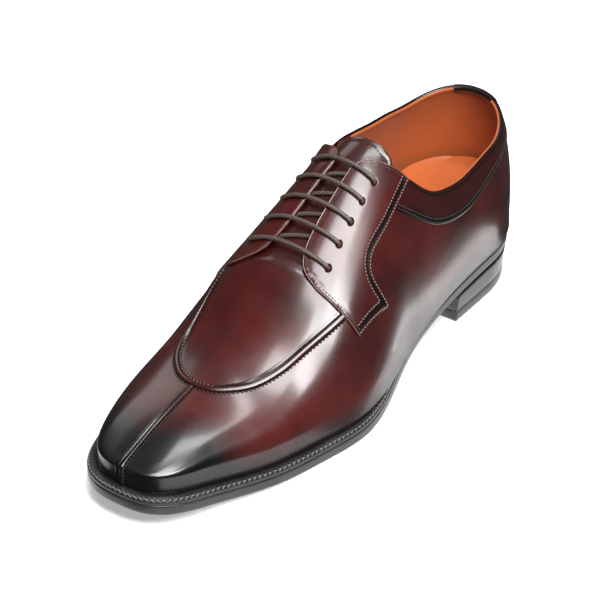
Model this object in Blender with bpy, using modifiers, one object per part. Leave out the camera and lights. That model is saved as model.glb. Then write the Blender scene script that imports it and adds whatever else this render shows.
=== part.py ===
"""Split toe derby, one left shoe: the construction solids.

The toe points along -Y, the lateral side is +X and up is +Z, in metres.
The shoe stands on z = 0, with the middle of its outline at the origin.
Inside the functions a place on the shoe is (across, along): across is +X, and
along runs from the back of the heel to the toe.
"""
import math

import bmesh
import bpy
import numpy as np

# Last: the form that the upper is drawn over
LENGTH = 0.298           # back of the heel to the tip of the toe, at the widest line
BALL_WIDTH = 0.100       # widest line, across the ball
INSTEP_HEIGHT = 0.096    # ridge of the instep above the sole
BACK_HEIGHT = 0.072      # topline above the heel seat, at the back
HEEL_WIDEST = 0.013      # widest line above the sole, at the heel
TOE_WIDEST = 0.009       # widest line above the sole, at the toe
TUCK = 0.003             # how far the wall turns in below its widest line

# Bottom
HEEL_RISE = 0.022        # underside of the outsole above the ground, at the back
TOE_SPRING = 0.010       # underside of the outsole above the ground, at the toe
OUTSOLE_THICKNESS = 0.006
WELT_THICKNESS = 0.003
TOP_LIFT_THICKNESS = 0.006
HEEL_LENGTH = 0.0745     # back of the shoe to the breast of the heel
HEEL_TAPER = 0.0012      # how far the heel narrows to the ground, on each side
EDGE_LEDGE = 0.0055      # sole edge beyond the upper, at the toe
INSOLE_RISE = 0.019      # top of the insole above the sole, at the heel
INSOLE_CUP = 0.004       # how far the insole's edge turns up, at the heel

# Upper
WALL = 0.0018
FACING_THICKNESS = 0.0018
COLLAR_THICKNESS = 0.0010
COLLAR_WIDTH = 0.018
TONGUE_THICKNESS = 0.0018
TONGUE_WIDTH = 0.042
SEAM_RADIUS = 0.0015     # raised seam round the apron
TOE_SEAM_RADIUS = 0.0011
SEAM_SINK = 0.0003       # the seams' centre line below the surface

# Lacing
LACE_DIAMETER = 0.0022
EYELET_DIAMETER = 0.0032
LACE_BEND = 0.0015       # centre line radius where the lace turns into an eyelet
SIDE_RUN = 0.0036        # hidden run, outboard of the eyelets
THROAT_MARGIN = 0.006    # throat edge, outboard of the eyelets

GAP = 0.0003             # between pieces that meet
MERGE = 0.000002
SIDE_POINTS = 44         # points along each side of an outline
HEEL_POINTS = 16         # points along each side of the heel
RING_LEVELS = 8          # levels from the widest line to the ridge
FAR = 0.075              # reach of the cutters to each side

# Foot and top of the upright cutters, as shares of INSTEP_HEIGHT
PANEL_CUT = (0.30, 2.25)
THROAT_CUT = (0.45, 2.25)

# Sections of the last. Widths and the ridge's place are shares of BALL_WIDTH,
# heights above the sole are shares of INSTEP_HEIGHT. flat and full are the
# exponents of the curve from the ridge to the widest line.
# along, lateral, medial, ridge, height, flat, full
SECTIONS = (
    (0.00, 0.335, 0.330, 0.000, 0.99, 2.20, 2.10),
    (0.14, 0.345, 0.340, 0.000, 1.01, 2.20, 2.10),
    (0.30, 0.365, 0.350, -0.015, 1.04, 2.20, 2.10),
    (0.42, 0.415, 0.370, -0.040, 1.00, 2.30, 2.05),
    (0.52, 0.500, 0.410, -0.070, 0.86, 2.25, 2.15),
    (0.62, 0.540, 0.455, -0.095, 0.665, 2.10, 2.15),
    (0.70, 0.505, 0.450, -0.115, 0.475, 2.10, 2.00),
    (0.80, 0.435, 0.415, -0.125, 0.33, 2.20, 2.05),
    (0.90, 0.325, 0.335, -0.125, 0.25, 2.30, 2.20),
    (1.00, 0.285, 0.280, -0.120, 0.14, 2.40, 2.30),
)
HEEL_ROUND = (0.14, 2.1)  # share of the length that is rounded, and its exponent
TOE_ROUND = (0.82, 3.0)

# Underside of the outsole: along, share of HEEL_RISE, share of TOE_SPRING
SOLE_LINE = (
    (0.00, 1.00, 0.00),
    (0.12, 0.93, 0.00),
    (0.24, 0.84, 0.00),
    (0.38, 0.50, 0.00),
    (0.50, 0.15, 0.00),
    (0.60, 0.00, 0.00),
    (0.70, 0.00, 0.00),
    (0.80, 0.00, 0.13),
    (0.90, 0.00, 0.50),
    (1.00, 0.00, 1.00),
)

# Sole edge beyond the widest line, as a share of EDGE_LEDGE: along, ledge
LEDGE = (
    (0.00, -0.10), (0.12, -0.10), (0.25, -0.18), (0.40, -0.28), (0.50, 0.10),
    (0.62, 0.64), (0.75, 0.82), (0.90, 0.91), (1.00, 1.00),
)

# Topline above the sole, as shares of BACK_HEIGHT at the heel, and over the instep of
# the part of INSTEP_HEIGHT that FRONT_UNIT gives: along, lateral, medial
FRONT_UNIT = 0.75
FRONT_TURN = (0.10, 0.33)  # along, from one unit to the other
TOPLINE = (
    (-0.03, 1.00, 1.00),
    (0.03, 0.98, 0.98),
    (0.07, 0.93, 0.935),
    (0.12, 0.87, 0.90),
    (0.18, 0.84, 0.95),
    (0.24, 0.83, 1.00),
    (0.28, 0.865, 1.06),
    (0.32, 0.935, 1.13),
    (0.35, 1.04, 1.20),
    (0.37, 1.145, 1.255),
    (0.42, 1.38, 1.42),
)

# Collar panel's depth below the topline, as a share of COLLAR_WIDTH: along, depth
COLLAR = (
    (-0.03, 0.70), (0.05, 0.68), (0.12, 0.64), (0.16, 0.78), (0.21, 0.98),
    (0.27, 1.00), (0.33, 1.02), (0.38, 1.20), (0.42, 1.30),
)

# Edges of the facing, in turn round it, each a smooth run between two corners.
# Across is from the ridge, as shares of BALL_WIDTH: along, lateral, medial
FACING_INNER = (
    (0.598, 0.240, 0.230), (0.591, 0.165, 0.165), (0.578, 0.115, 0.115),
    (0.560, 0.090, 0.090), (0.493, 0.062, 0.062), (0.429, 0.050, 0.050),
)
FACING_TOP = (
    (0.429, 0.050, 0.050), (0.418, 0.066, 0.066), (0.399, 0.130, 0.130),
    (0.381, 0.203, 0.200), (0.371, 0.245, 0.240),
)
FACING_BACK = (
    (0.371, 0.245, 0.240), (0.421, 0.280, 0.270), (0.466, 0.310, 0.295),
    (0.500, 0.332, 0.310), (0.515, 0.362, 0.328), (0.516, 0.405, 0.350),
    (0.508, 0.450, 0.372),
)
FACING_TAB = ((0.508, 0.450, 0.372), (0.589, 0.465, 0.390))
FACING_FRONT = ((0.589, 0.465, 0.390), (0.596, 0.350, 0.310), (0.598, 0.240, 0.230))

# Eyelets, from the toe to the ankle. Across is from the ridge: along, across
EYELETS = (
    (0.566, 0.230), (0.530, 0.210), (0.495, 0.195), (0.461, 0.182), (0.427, 0.172),
)

# Apron seam, as a share of the half width on its side: along, across
APRON = (
    (0.608, 0.715), (0.640, 0.680), (0.675, 0.640), (0.715, 0.600), (0.750, 0.535),
    (0.776, 0.440), (0.795, 0.310), (0.806, 0.160), (0.810, 0.000),
)
TOE_SEAM_START = 0.818

# Tongue: along, share of half of TONGUE_WIDTH, depth below the surface
TONGUE_DEEP = 0.0029
TONGUE_SEATED = WALL + GAP
TONGUE = (
    (0.360, 0.62, TONGUE_DEEP), (0.366, 0.82, TONGUE_DEEP), (0.378, 0.96, TONGUE_DEEP),
    (0.400, 1.00, TONGUE_DEEP), (0.430, 1.00, TONGUE_DEEP), (0.460, 1.00, TONGUE_DEEP),
    (0.490, 1.00, TONGUE_DEEP), (0.520, 1.00, TONGUE_DEEP), (0.550, 1.00, TONGUE_DEEP),
    (0.572, 1.00, TONGUE_DEEP), (0.590, 1.00, TONGUE_SEATED), (0.610, 0.98, TONGUE_SEATED),
    (0.625, 0.94, TONGUE_SEATED),
)


def spline(rows):
    """Natural cubic through the rows, straight beyond them: first column against the others."""
    table = np.array(rows, float)
    xs, ys = table[:, 0], table[:, 1:]
    count = len(xs)
    step = np.diff(xs)
    slope = np.diff(ys, axis=0) / step[:, None]
    system = np.eye(count)
    right = np.zeros_like(ys)
    for i in range(1, count - 1):
        system[i, i - 1:i + 2] = step[i - 1], 2 * (step[i - 1] + step[i]), step[i]
        right[i] = 3 * (slope[i] - slope[i - 1])
    curve = np.linalg.solve(system, right)

    def value(x):
        x = np.asarray(x, float)
        inside = np.clip(x, xs[0], xs[-1])
        i = np.clip(np.searchsorted(xs, inside) - 1, 0, count - 2)
        d = (inside - xs[i])[..., None]
        h = step[i][..., None]
        bend = (curve[i + 1] - curve[i]) / (3 * h)
        first = slope[i] - h * (2 * curve[i] + curve[i + 1]) / 3
        result = ys[i] + d * (first + d * (curve[i] + d * bend))
        result += (x - inside)[..., None] * (first + d * (2 * curve[i] + 3 * d * bend))
        return result[..., 0] if ys.shape[1] == 1 else result
    return value


section = spline(SECTIONS)
sole_line = spline(SOLE_LINE)
ledge_share = spline(LEDGE)
topline_share = spline(TOPLINE)
collar_share = spline(COLLAR)


def underside(along):
    """Height of the outsole's underside: rise at the heel, flat ball, spring at the toe."""
    shares = sole_line(along / LENGTH)
    return np.maximum(shares[..., 0] * HEEL_RISE + shares[..., 1] * TOE_SPRING, 0)


def sole_top(along):
    return underside(along) + OUTSOLE_THICKNESS + WELT_THICKNESS


def widest_height(along):
    share = np.clip(along / LENGTH, 0, 1)
    return sole_top(along) + HEEL_WIDEST + (TOE_WIDEST - HEEL_WIDEST) * share ** 2


def ridge(along):
    return section(along / LENGTH)[..., 2] * BALL_WIDTH


def end_distance(share):
    """How far a place is into the round of the heel or of the toe, from 0 to 1."""
    heel = (HEEL_ROUND[0] - share) / HEEL_ROUND[0]
    toe = (share - TOE_ROUND[0]) / (1 - TOE_ROUND[0])
    return np.clip(np.maximum(heel, toe), 0, 1)


def end_exponent(share):
    return np.where(share < 0.5, HEEL_ROUND[1], TOE_ROUND[1])


def half_width(along, side):
    """Half width at the widest line; side is 1 for lateral and -1 for medial."""
    share = along / LENGTH
    row = section(share)
    width = np.where(side > 0, row[..., 0], row[..., 1]) * BALL_WIDTH
    power = end_exponent(share)
    return width * np.clip(1 - end_distance(share) ** power, 0, 1) ** (1 / power)


def surface(across, along):
    """Height of the last's upper surface over a place."""
    share = along / LENGTH
    row = section(share)
    from_ridge = across - row[..., 2] * BALL_WIDTH
    width = np.where(from_ridge > 0, row[..., 0], row[..., 1]) * BALL_WIDTH
    power = end_exponent(share)
    out = ((np.abs(from_ridge) / width) ** power + end_distance(share) ** power) ** (1 / power)
    low = widest_height(along)
    high = sole_top(along) + row[..., 3] * INSTEP_HEIGHT
    fall = np.clip(1 - np.clip(out, 0, 1) ** row[..., 4], 0, 1)
    return low + (high - low) * fall ** (1 / row[..., 5])


def on_form(across, along, offset):
    """Points over or under the last's surface, measured square to it."""
    across, along = np.broadcast_arrays(np.asarray(across, float), np.asarray(along, float))
    step = 0.00005
    rise_x = (surface(across + step, along) - surface(across - step, along)) / (2 * step)
    rise_y = (surface(across, along + step) - surface(across, along - step)) / (2 * step)
    normal = np.stack([-rise_x, -rise_y, np.ones_like(rise_x)], axis=-1)
    normal /= np.linalg.norm(normal, axis=-1, keepdims=True)
    point = np.stack([across, along, surface(across, along)], axis=-1)
    return point + normal * np.asarray(offset)[..., None]


def outline_side(side, end, count):
    """One side of the widest line, from the heel's back to an end, in even steps."""
    turn = np.linspace(0, math.pi, 3000)
    along = end * (1 - np.cos(turn)) / 2
    if end < LENGTH:
        along = end * (1 - np.cos(turn / 2))
    across = ridge(along) + side * half_width(along, side)
    walked = np.concatenate([[0], np.cumsum(np.hypot(np.diff(across), np.diff(along)))])
    even = np.linspace(0, walked[-1], count)
    return np.stack([np.interp(even, walked, across), np.interp(even, walked, along)], axis=-1)


def outline():
    """The whole widest line: lateral side to the toe, medial side back, and its normals."""
    lateral = outline_side(1, LENGTH, SIDE_POINTS)
    medial = outline_side(-1, LENGTH, SIDE_POINTS)
    loop = np.concatenate([lateral, medial[-2:0:-1]])
    tangent = np.roll(loop, -1, axis=0) - np.roll(loop, 1, axis=0)
    tangent /= np.linalg.norm(tangent, axis=1)[:, None]
    return loop, np.stack([tangent[:, 1], -tangent[:, 0]], axis=-1)


LOOP, LOOP_NORMAL = outline()


def ledge(along):
    return ledge_share(along / LENGTH) * EDGE_LEDGE


def edge_loop(offset):
    """The widest line moved out by an offset, a number or one for each point."""
    return LOOP + LOOP_NORMAL * np.broadcast_to(offset, len(LOOP))[:, None]


SOLE_EDGE = edge_loop(ledge(LOOP[:, 1]))
CENTRE = (SOLE_EDGE.max(axis=0) + np.minimum(SOLE_EDGE.min(axis=0), LOOP.min(axis=0))) / 2


def place(points):
    """From across, along, height to the world."""
    points = np.asarray(points, float)
    moved = points - np.array([CENTRE[0], CENTRE[1], 0])
    return moved * np.array([1, -1, 1])


def collection(name):
    group = bpy.data.collections.new(name)
    bpy.context.scene.collection.children.link(group)
    return group


def material(name, colour, roughness, metallic=0.0):
    made = bpy.data.materials.new(name)
    made.use_nodes = True
    shader = made.node_tree.nodes["Principled BSDF"]
    shader.inputs["Base Color"].default_value = (*colour, 1)
    shader.inputs["Roughness"].default_value = roughness
    shader.inputs["Metallic"].default_value = metallic
    made.diffuse_color = (*colour, 1)
    return made


def mesh_object(name, points, faces, group, look=None):
    """An object from placed points and faces, welded, with its faces turned out."""
    mesh = bpy.data.meshes.new(name)
    build = bmesh.new()
    corners = [build.verts.new(point) for point in place(points)]
    for face in faces:
        build.faces.new([corners[i] for i in face])
    bmesh.ops.remove_doubles(build, verts=build.verts, dist=MERGE)
    bmesh.ops.recalc_face_normals(build, faces=build.faces)
    build.to_mesh(mesh)
    build.free()
    made = bpy.data.objects.new(name, mesh)
    group.objects.link(made)
    if look:
        mesh.materials.append(look)
    return made


def slab(name, top, bottom, group, look=None):
    """A solid between two grids of points of the same shape."""
    rows, columns = top.shape[:2]
    points = np.concatenate([top.reshape(-1, 3), bottom.reshape(-1, 3)])
    under = rows * columns
    faces = []
    for i in range(rows - 1):
        for j in range(columns - 1):
            a = i * columns + j
            quad = (a, a + 1, a + columns + 1, a + columns)
            faces.append(quad)
            faces.append(tuple(under + k for k in reversed(quad)))
    border = [(0, j) for j in range(columns)]
    border += [(i, columns - 1) for i in range(1, rows)]
    border += [(rows - 1, j) for j in range(columns - 2, -1, -1)]
    border += [(i, 0) for i in range(rows - 2, 0, -1)]
    for here, there in zip(border, border[1:] + border[:1]):
        a = here[0] * columns + here[1]
        b = there[0] * columns + there[1]
        faces.append((b, a, a + under, b + under))
    return mesh_object(name, points, faces, group, look)


def prism(name, plan, reach, group):
    """A flat outline in across and along, extruded upright between two shares of the instep."""
    low, high = (share * INSTEP_HEIGHT for share in reach)
    count = len(plan)
    points = [(x, y, low) for x, y in plan] + [(x, y, high) for x, y in plan]
    faces = [tuple(range(count)), tuple(range(2 * count - 1, count - 1, -1))]
    for i in range(count):
        j = (i + 1) % count
        faces.append((i, count + i, count + j, j))
    return mesh_object(name, points, faces, group)


def boolean(target, operation, cutter):
    step = target.modifiers.new(cutter.name, "BOOLEAN")
    step.operation = operation
    step.solver = "EXACT"
    step.object = cutter


def as_cutter(made):
    made.hide_render = True
    made.display_type = "WIRE"
    return made


def tube_curve(name, points, radius, group):
    """A round cord through points, with closed ends."""
    curve = bpy.data.curves.new(name, "CURVE")
    curve.dimensions = "3D"
    curve.bevel_depth = radius
    curve.bevel_resolution = 2
    curve.use_fill_caps = True
    line = curve.splines.new("POLY")
    line.points.add(len(points) - 1)
    for knot, point in zip(line.points, place(points)):
        knot.co = (*point, 1)
    made = bpy.data.objects.new(name, curve)
    group.objects.link(made)
    return made


def tube_mesh(name, points, radius, group):
    """The same cord as a mesh, which a Boolean can join."""
    made = tube_curve(name, points, radius, group)
    bpy.context.view_layer.update()
    evaluated = made.evaluated_get(bpy.context.evaluated_depsgraph_get())
    mesh = bpy.data.meshes.new_from_object(evaluated)
    build = bmesh.new()
    build.from_mesh(mesh)
    bmesh.ops.remove_doubles(build, verts=build.verts, dist=MERGE)
    bmesh.ops.recalc_face_normals(build, faces=build.faces)
    build.to_mesh(mesh)
    build.free()
    solid = bpy.data.objects.new(name, mesh)
    solid.matrix_world = made.matrix_world
    group.objects.link(solid)
    bpy.data.objects.remove(made)
    return solid


def sheet_rows(loop, columns):
    """Rows across a closed loop, from its lateral to its medial side."""
    share = np.linspace(0, 1, columns)[None, :, None]
    lateral = loop[:SIDE_POINTS]
    medial = np.roll(loop[::-1], 1, axis=0)[:SIDE_POINTS]
    return lateral[:, None] * (1 - share) + medial[:, None] * share


def lifted(rows, height):
    """Rows of places with a height worked out for each."""
    return np.concatenate([rows, height(rows[..., 1])[..., None]], axis=-1)


def make_outsole(group):
    rows = sheet_rows(SOLE_EDGE, 3)
    top = lifted(rows, lambda along: underside(along) + OUTSOLE_THICKNESS)
    bottom = lifted(rows, underside)
    slab("outsole", top, bottom, group, material("sole_leather", (0.02, 0.02, 0.02), 0.35))


def make_welt(group):
    """A strip round the shoe between the outsole and the foot of the upper."""
    inner = edge_loop(-(TUCK + WALL + 2 * GAP))
    count = len(inner)
    low_out = lifted(SOLE_EDGE, lambda along: sole_top(along) - WELT_THICKNESS + GAP)
    low_in = lifted(inner, lambda along: sole_top(along) - WELT_THICKNESS + GAP)
    high_out = lifted(SOLE_EDGE, sole_top)
    high_in = lifted(inner, sole_top)
    points = np.concatenate([low_out, high_out, high_in, low_in])
    faces = []
    for ring in range(4):
        for i in range(count):
            j = (i + 1) % count
            a, b = ring * count, (ring + 1) % 4 * count
            faces.append((a + i, a + j, b + j, b + i))
    mesh_object("welt", points, faces, group, material("welt_leather", (0.022, 0.02, 0.02), 0.4))


def heel_rows(inset):
    """Rows across the heel from its back to the breast."""
    sides = []
    for side in (1, -1):
        line = outline_side(side, HEEL_LENGTH, HEEL_POINTS)
        tangent = np.gradient(line, axis=0)
        tangent[0] = (side, 0)
        tangent /= np.linalg.norm(tangent, axis=1)[:, None]
        normal = np.stack([tangent[:, 1], -tangent[:, 0]], axis=-1) * side
        line = line + normal * (ledge(line[:, 1]) - inset)[:, None]
        line[-1, 1] = HEEL_LENGTH
        sides.append(line)
    share = np.linspace(0, 1, 3)[None, :, None]
    return sides[0][:, None] * (1 - share) + sides[1][:, None] * share


def make_heel(group):
    wide = heel_rows(GAP)
    narrow = heel_rows(GAP + HEEL_TAPER)
    top = lifted(wide, lambda along: underside(along) - GAP)
    joint = lifted(narrow, lambda along: np.full_like(along, TOP_LIFT_THICKNESS + GAP))
    slab("heel_stack", top, joint, group, material("heel_leather", (0.03, 0.028, 0.028), 0.35))
    upper_face = lifted(narrow, lambda along: np.full_like(along, TOP_LIFT_THICKNESS))
    ground = lifted(narrow, np.zeros_like)
    slab("top_lift", upper_face, ground, group, material("top_lift_rubber", (0.02, 0.02, 0.02), 0.6))


def make_insole(group):
    """A board on the outsole inside the welt, built up and cupped at the heel."""
    columns = 5
    rows = sheet_rows(edge_loop(-(TUCK + WALL + 4 * GAP)), columns)
    bottom = lifted(rows, lambda along: underside(along) + OUTSOLE_THICKNESS + GAP)
    share = np.repeat(np.abs(np.linspace(-1, 1, columns))[None, :], SIDE_POINTS, axis=0)
    share[0] = 1
    heel = np.clip(1.25 - 2.5 * rows[..., 1] / LENGTH, 0, 1)
    heel = heel * heel * (3 - 2 * heel)
    rise = OUTSOLE_THICKNESS / 2 * (1 - heel) + (INSOLE_RISE + INSOLE_CUP * share ** 3) * heel
    top = lifted(rows, sole_top)
    top[..., 2] += rise
    slab("insole", top, bottom, group, material("insole_leather", (0.55, 0.17, 0.05), 0.6))


def form_rows(levels):
    """Rings of places from the widest line to the ridge, levels in turn from 1 to 0."""
    lateral = LOOP[:SIDE_POINTS]
    medial = np.roll(LOOP[::-1], 1, axis=0)[:SIDE_POINTS]
    mean = (lateral[:, 1] + medial[:, 1]) / 2
    spine_along = np.clip(mean, HEEL_ROUND[0] * LENGTH, TOE_ROUND[0] * LENGTH)
    spine = np.stack([ridge(spine_along), spine_along], axis=-1)
    whole = np.concatenate([spine, spine[-2:0:-1]])
    share = np.sin(np.asarray(levels) * math.pi / 2)[:, None, None]
    return LOOP[None] * share + whole[None] * (1 - share)


def upper_shell_points():
    """Rings of the upper from its foot, over the widest line, to the ridge."""
    foot = []
    for drop in (1.0, 0.62, 0.3):
        ring = edge_loop(-TUCK * drop ** 2)
        low = sole_top(LOOP[:, 1]) + GAP
        high = widest_height(LOOP[:, 1])
        foot.append(np.concatenate([ring, (high + (low - high) * drop)[:, None]], axis=-1))
    places = form_rows(np.linspace(1, 0, RING_LEVELS + 1))
    height = surface(places[..., 0], places[..., 1])
    height[0] = widest_height(LOOP[:, 1])
    return np.concatenate([np.array(foot), np.concatenate([places, height[..., None]], axis=-1)])


def topline_height(across, along):
    """Height of the topline's sheet, which slopes from side to side."""
    shares = topline_share(along / LENGTH)
    mix = across / (BALL_WIDTH * 0.56) + 0.5
    front = (along / LENGTH - FRONT_TURN[0]) / (FRONT_TURN[1] - FRONT_TURN[0])
    front = np.clip(front, 0, 1) ** 2 * (3 - 2 * np.clip(front, 0, 1))
    unit = BACK_HEIGHT * (1 - front) + INSTEP_HEIGHT * FRONT_UNIT * front
    return sole_top(along) + unit * (shares[..., 0] * mix + shares[..., 1] * (1 - mix))


def topline_grid():
    along = np.linspace(TOPLINE[0][0], TOPLINE[-1][0], 30) * LENGTH
    across = np.array([-FAR, 0, FAR])
    return np.meshgrid(across, along)


def make_topline_cutter(group):
    across, along = topline_grid()
    low = np.stack([across, along, topline_height(across, along)], axis=-1)
    high = low.copy()
    high[..., 2] = low[..., 2].max() + INSTEP_HEIGHT * FRONT_UNIT
    return as_cutter(slab("topline_cutter", high, low, group))


def throat_plan():
    """Outline of the throat, from the topline to a round end behind the vamp."""
    rows = spline(EYELETS[::-1])
    first, last = EYELETS[-1][0], EYELETS[0][0]
    along = np.linspace(first, last, 9)
    half = rows(along) * BALL_WIDTH + THROAT_MARGIN
    along = along * LENGTH
    along[0] = TOPLINE[-3][0] * LENGTH
    turn = np.linspace(0, math.pi / 2, 7)[1:]
    along = np.concatenate([along, along[-1] + THROAT_MARGIN * np.sin(turn)])
    half = np.concatenate([half, half[-1] * np.cos(turn) ** 0.5])
    lateral = [(ridge(y) + w, y) for y, w in zip(along, half)]
    medial = [(ridge(y) - w, y) for y, w in zip(along[:-1], half[:-1])]
    return lateral + medial[::-1]


def apron_places():
    """Places along the apron seam, from the lateral facing round to the medial one."""
    rows = spline(APRON)
    along = np.concatenate([
        np.linspace(APRON[0][0], APRON[-3][0], 14)[:-1],
        APRON[-1][0] - (APRON[-1][0] - APRON[-3][0]) * np.linspace(1, 0, 8) ** 2,
    ]) * LENGTH
    share = rows(along / LENGTH)
    lateral = [(ridge(y) + s * half_width(y, 1), y) for y, s in zip(along, share)]
    medial = [(ridge(y) - s * half_width(y, -1), y) for y, s in zip(along[:-1], share)]
    return np.array(lateral + medial[::-1], float)


def toe_seam_points():
    """From the apron along the ridge and down the front of the toe."""
    along = (1 - (1 - TOE_SEAM_START) * np.linspace(1, 0, 16) ** 1.6) * LENGTH
    top = on_form(ridge(along[:-1]), along[:-1], -SEAM_SINK)
    front = upper_shell_points()[:4, SIDE_POINTS - 1][::-1]
    front = front - np.array([0, SEAM_SINK, 0])
    return np.concatenate([top, front])


def make_upper(group, cutters):
    """Vamp and quarters: one wall over the last, open at the topline, throat and foot."""
    rings = upper_shell_points()
    levels, count = rings.shape[:2]
    faces = []
    for level in range(levels - 1):
        for i in range(count):
            j = (i + 1) % count
            a, b = level * count, (level + 1) * count
            faces.append((a + i, a + j, b + j, b + i))
    look = material("upper_calf", (0.055, 0.012, 0.014), 0.22)
    upper = mesh_object("upper", rings.reshape(-1, 3), faces, group, look)
    wall = upper.modifiers.new("wall", "SOLIDIFY")
    wall.thickness = WALL
    wall.offset = -1
    apron = apron_places()
    apron_points = on_form(apron[:, 0], apron[:, 1], -SEAM_SINK)
    boolean(upper, "UNION", as_cutter(tube_mesh("apron_seam", apron_points, SEAM_RADIUS, cutters)))
    toe_points = toe_seam_points()
    boolean(upper, "UNION", as_cutter(tube_mesh("toe_seam", toe_points, TOE_SEAM_RADIUS, cutters)))
    boolean(upper, "DIFFERENCE", make_topline_cutter(cutters))
    throat = prism("throat_cutter", throat_plan(), THROAT_CUT, cutters)
    boolean(upper, "DIFFERENCE", as_cutter(throat))


def run_points(rows, side):
    """One edge of a facing as places, eased between its corners."""
    table = np.array(rows)
    walk = np.concatenate([[0], np.cumsum(np.hypot(*np.diff(table[:, :2], axis=0).T))])
    steps = 2 if len(rows) == 2 else 3 * (len(rows) - 1) + 1
    even = spline(np.column_stack([walk, table]))(np.linspace(0, walk[-1], steps))
    across = np.where(side > 0, even[:, 1], even[:, 2]) * BALL_WIDTH
    along = even[:, 0] * LENGTH
    return np.stack([ridge(along) + side * across, along], axis=-1)[:-1]


def facing_plan(side, grow=0.0):
    runs = (FACING_INNER, FACING_TOP, FACING_BACK, FACING_TAB, FACING_FRONT)
    plan = np.concatenate([run_points(run, side) for run in runs])
    tangent = np.roll(plan, -1, axis=0) - np.roll(plan, 1, axis=0)
    tangent /= np.linalg.norm(tangent, axis=1)[:, None]
    out = np.stack([tangent[:, 1], -tangent[:, 0]], axis=-1)
    if ((plan - plan.mean(axis=0)) * out).sum() < 0:
        out = -out
    return plan + out * grow


def facing_base(side):
    """Places over the part of the form that a facing covers."""
    along = np.linspace(FACING_BACK[0][0] - 0.015, FACING_INNER[0][0] + 0.01, 14) * LENGTH
    share = np.sin(np.linspace(0.04, 0.84, 10) * math.pi / 2)
    along, share = np.meshgrid(along, share, indexing="ij")
    return ridge(along) + side * share * half_width(along, side), along


def make_facing(name, side, look, group, cutters):
    """One side of the lacing: a panel over the upper, with its punched eyelets."""
    across, along = facing_base(side)
    low = on_form(across, along, GAP)
    high = on_form(across, along, GAP + FACING_THICKNESS)
    facing = slab(name, high, low, group, look)
    plan = prism(name + "_plan", facing_plan(side), PANEL_CUT, cutters)
    boolean(facing, "INTERSECT", as_cutter(plan))
    for number, (share, out) in enumerate(EYELETS, start=1):
        centre_along = share * LENGTH
        centre = ridge(centre_along) + side * out * BALL_WIDTH
        ends = on_form([centre, centre], [centre_along] * 2, np.array([-3, 6]) * WALL)
        hole = tube_mesh(f"{name}_eyelet_{number}", ends, EYELET_DIAMETER / 2, cutters)
        boolean(facing, "DIFFERENCE", as_cutter(hole))


def make_collar(group, cutters):
    """The panel round the top of the quarters, behind the facings."""
    levels = np.linspace(0.92, 0.3, 8)
    rings = form_rows(levels)
    last = int(np.searchsorted(LOOP[:SIDE_POINTS, 1], 0.46 * LENGTH))
    order = list(range(last, 0, -1)) + [0] + [len(LOOP) - i for i in range(1, last + 1)]
    places = rings[:, order]
    low = on_form(places[..., 0], places[..., 1], GAP)
    high = on_form(places[..., 0], places[..., 1], GAP + COLLAR_THICKNESS)
    collar = slab("collar_panel", high, low, group, material("collar_calf", (0.04, 0.01, 0.012), 0.22))
    across, along = topline_grid()
    top = np.stack([across, along, topline_height(across, along)], axis=-1)
    seam = top.copy()
    seam[..., 2] -= collar_share(along / LENGTH) * COLLAR_WIDTH
    boolean(collar, "INTERSECT", as_cutter(slab("collar_band", top, seam, cutters)))
    for side, name in ((1, "lateral"), (-1, "medial")):
        clear = facing_plan(side, 2 * GAP)
        cutter = prism(f"collar_clear_{name}", clear, PANEL_CUT, cutters)
        boolean(collar, "DIFFERENCE", as_cutter(cutter))


def make_tongue(group):
    """Under the facings, from beneath the vamp to above the lacing."""
    rows = np.array(TONGUE)
    along = rows[:, 0] * LENGTH
    share = np.linspace(-1, 1, 9)[None, :]
    across = ridge(along)[:, None] + share * (rows[:, 1] * TONGUE_WIDTH / 2)[:, None]
    along = np.broadcast_to(along[:, None], across.shape)
    depth = np.broadcast_to(rows[:, 2][:, None], across.shape)
    top = on_form(across, along, -depth)
    bottom = on_form(across, along, -depth - TONGUE_THICKNESS)
    slab("tongue", top, bottom, group, material("tongue_calf", (0.045, 0.01, 0.012), 0.3))


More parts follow.
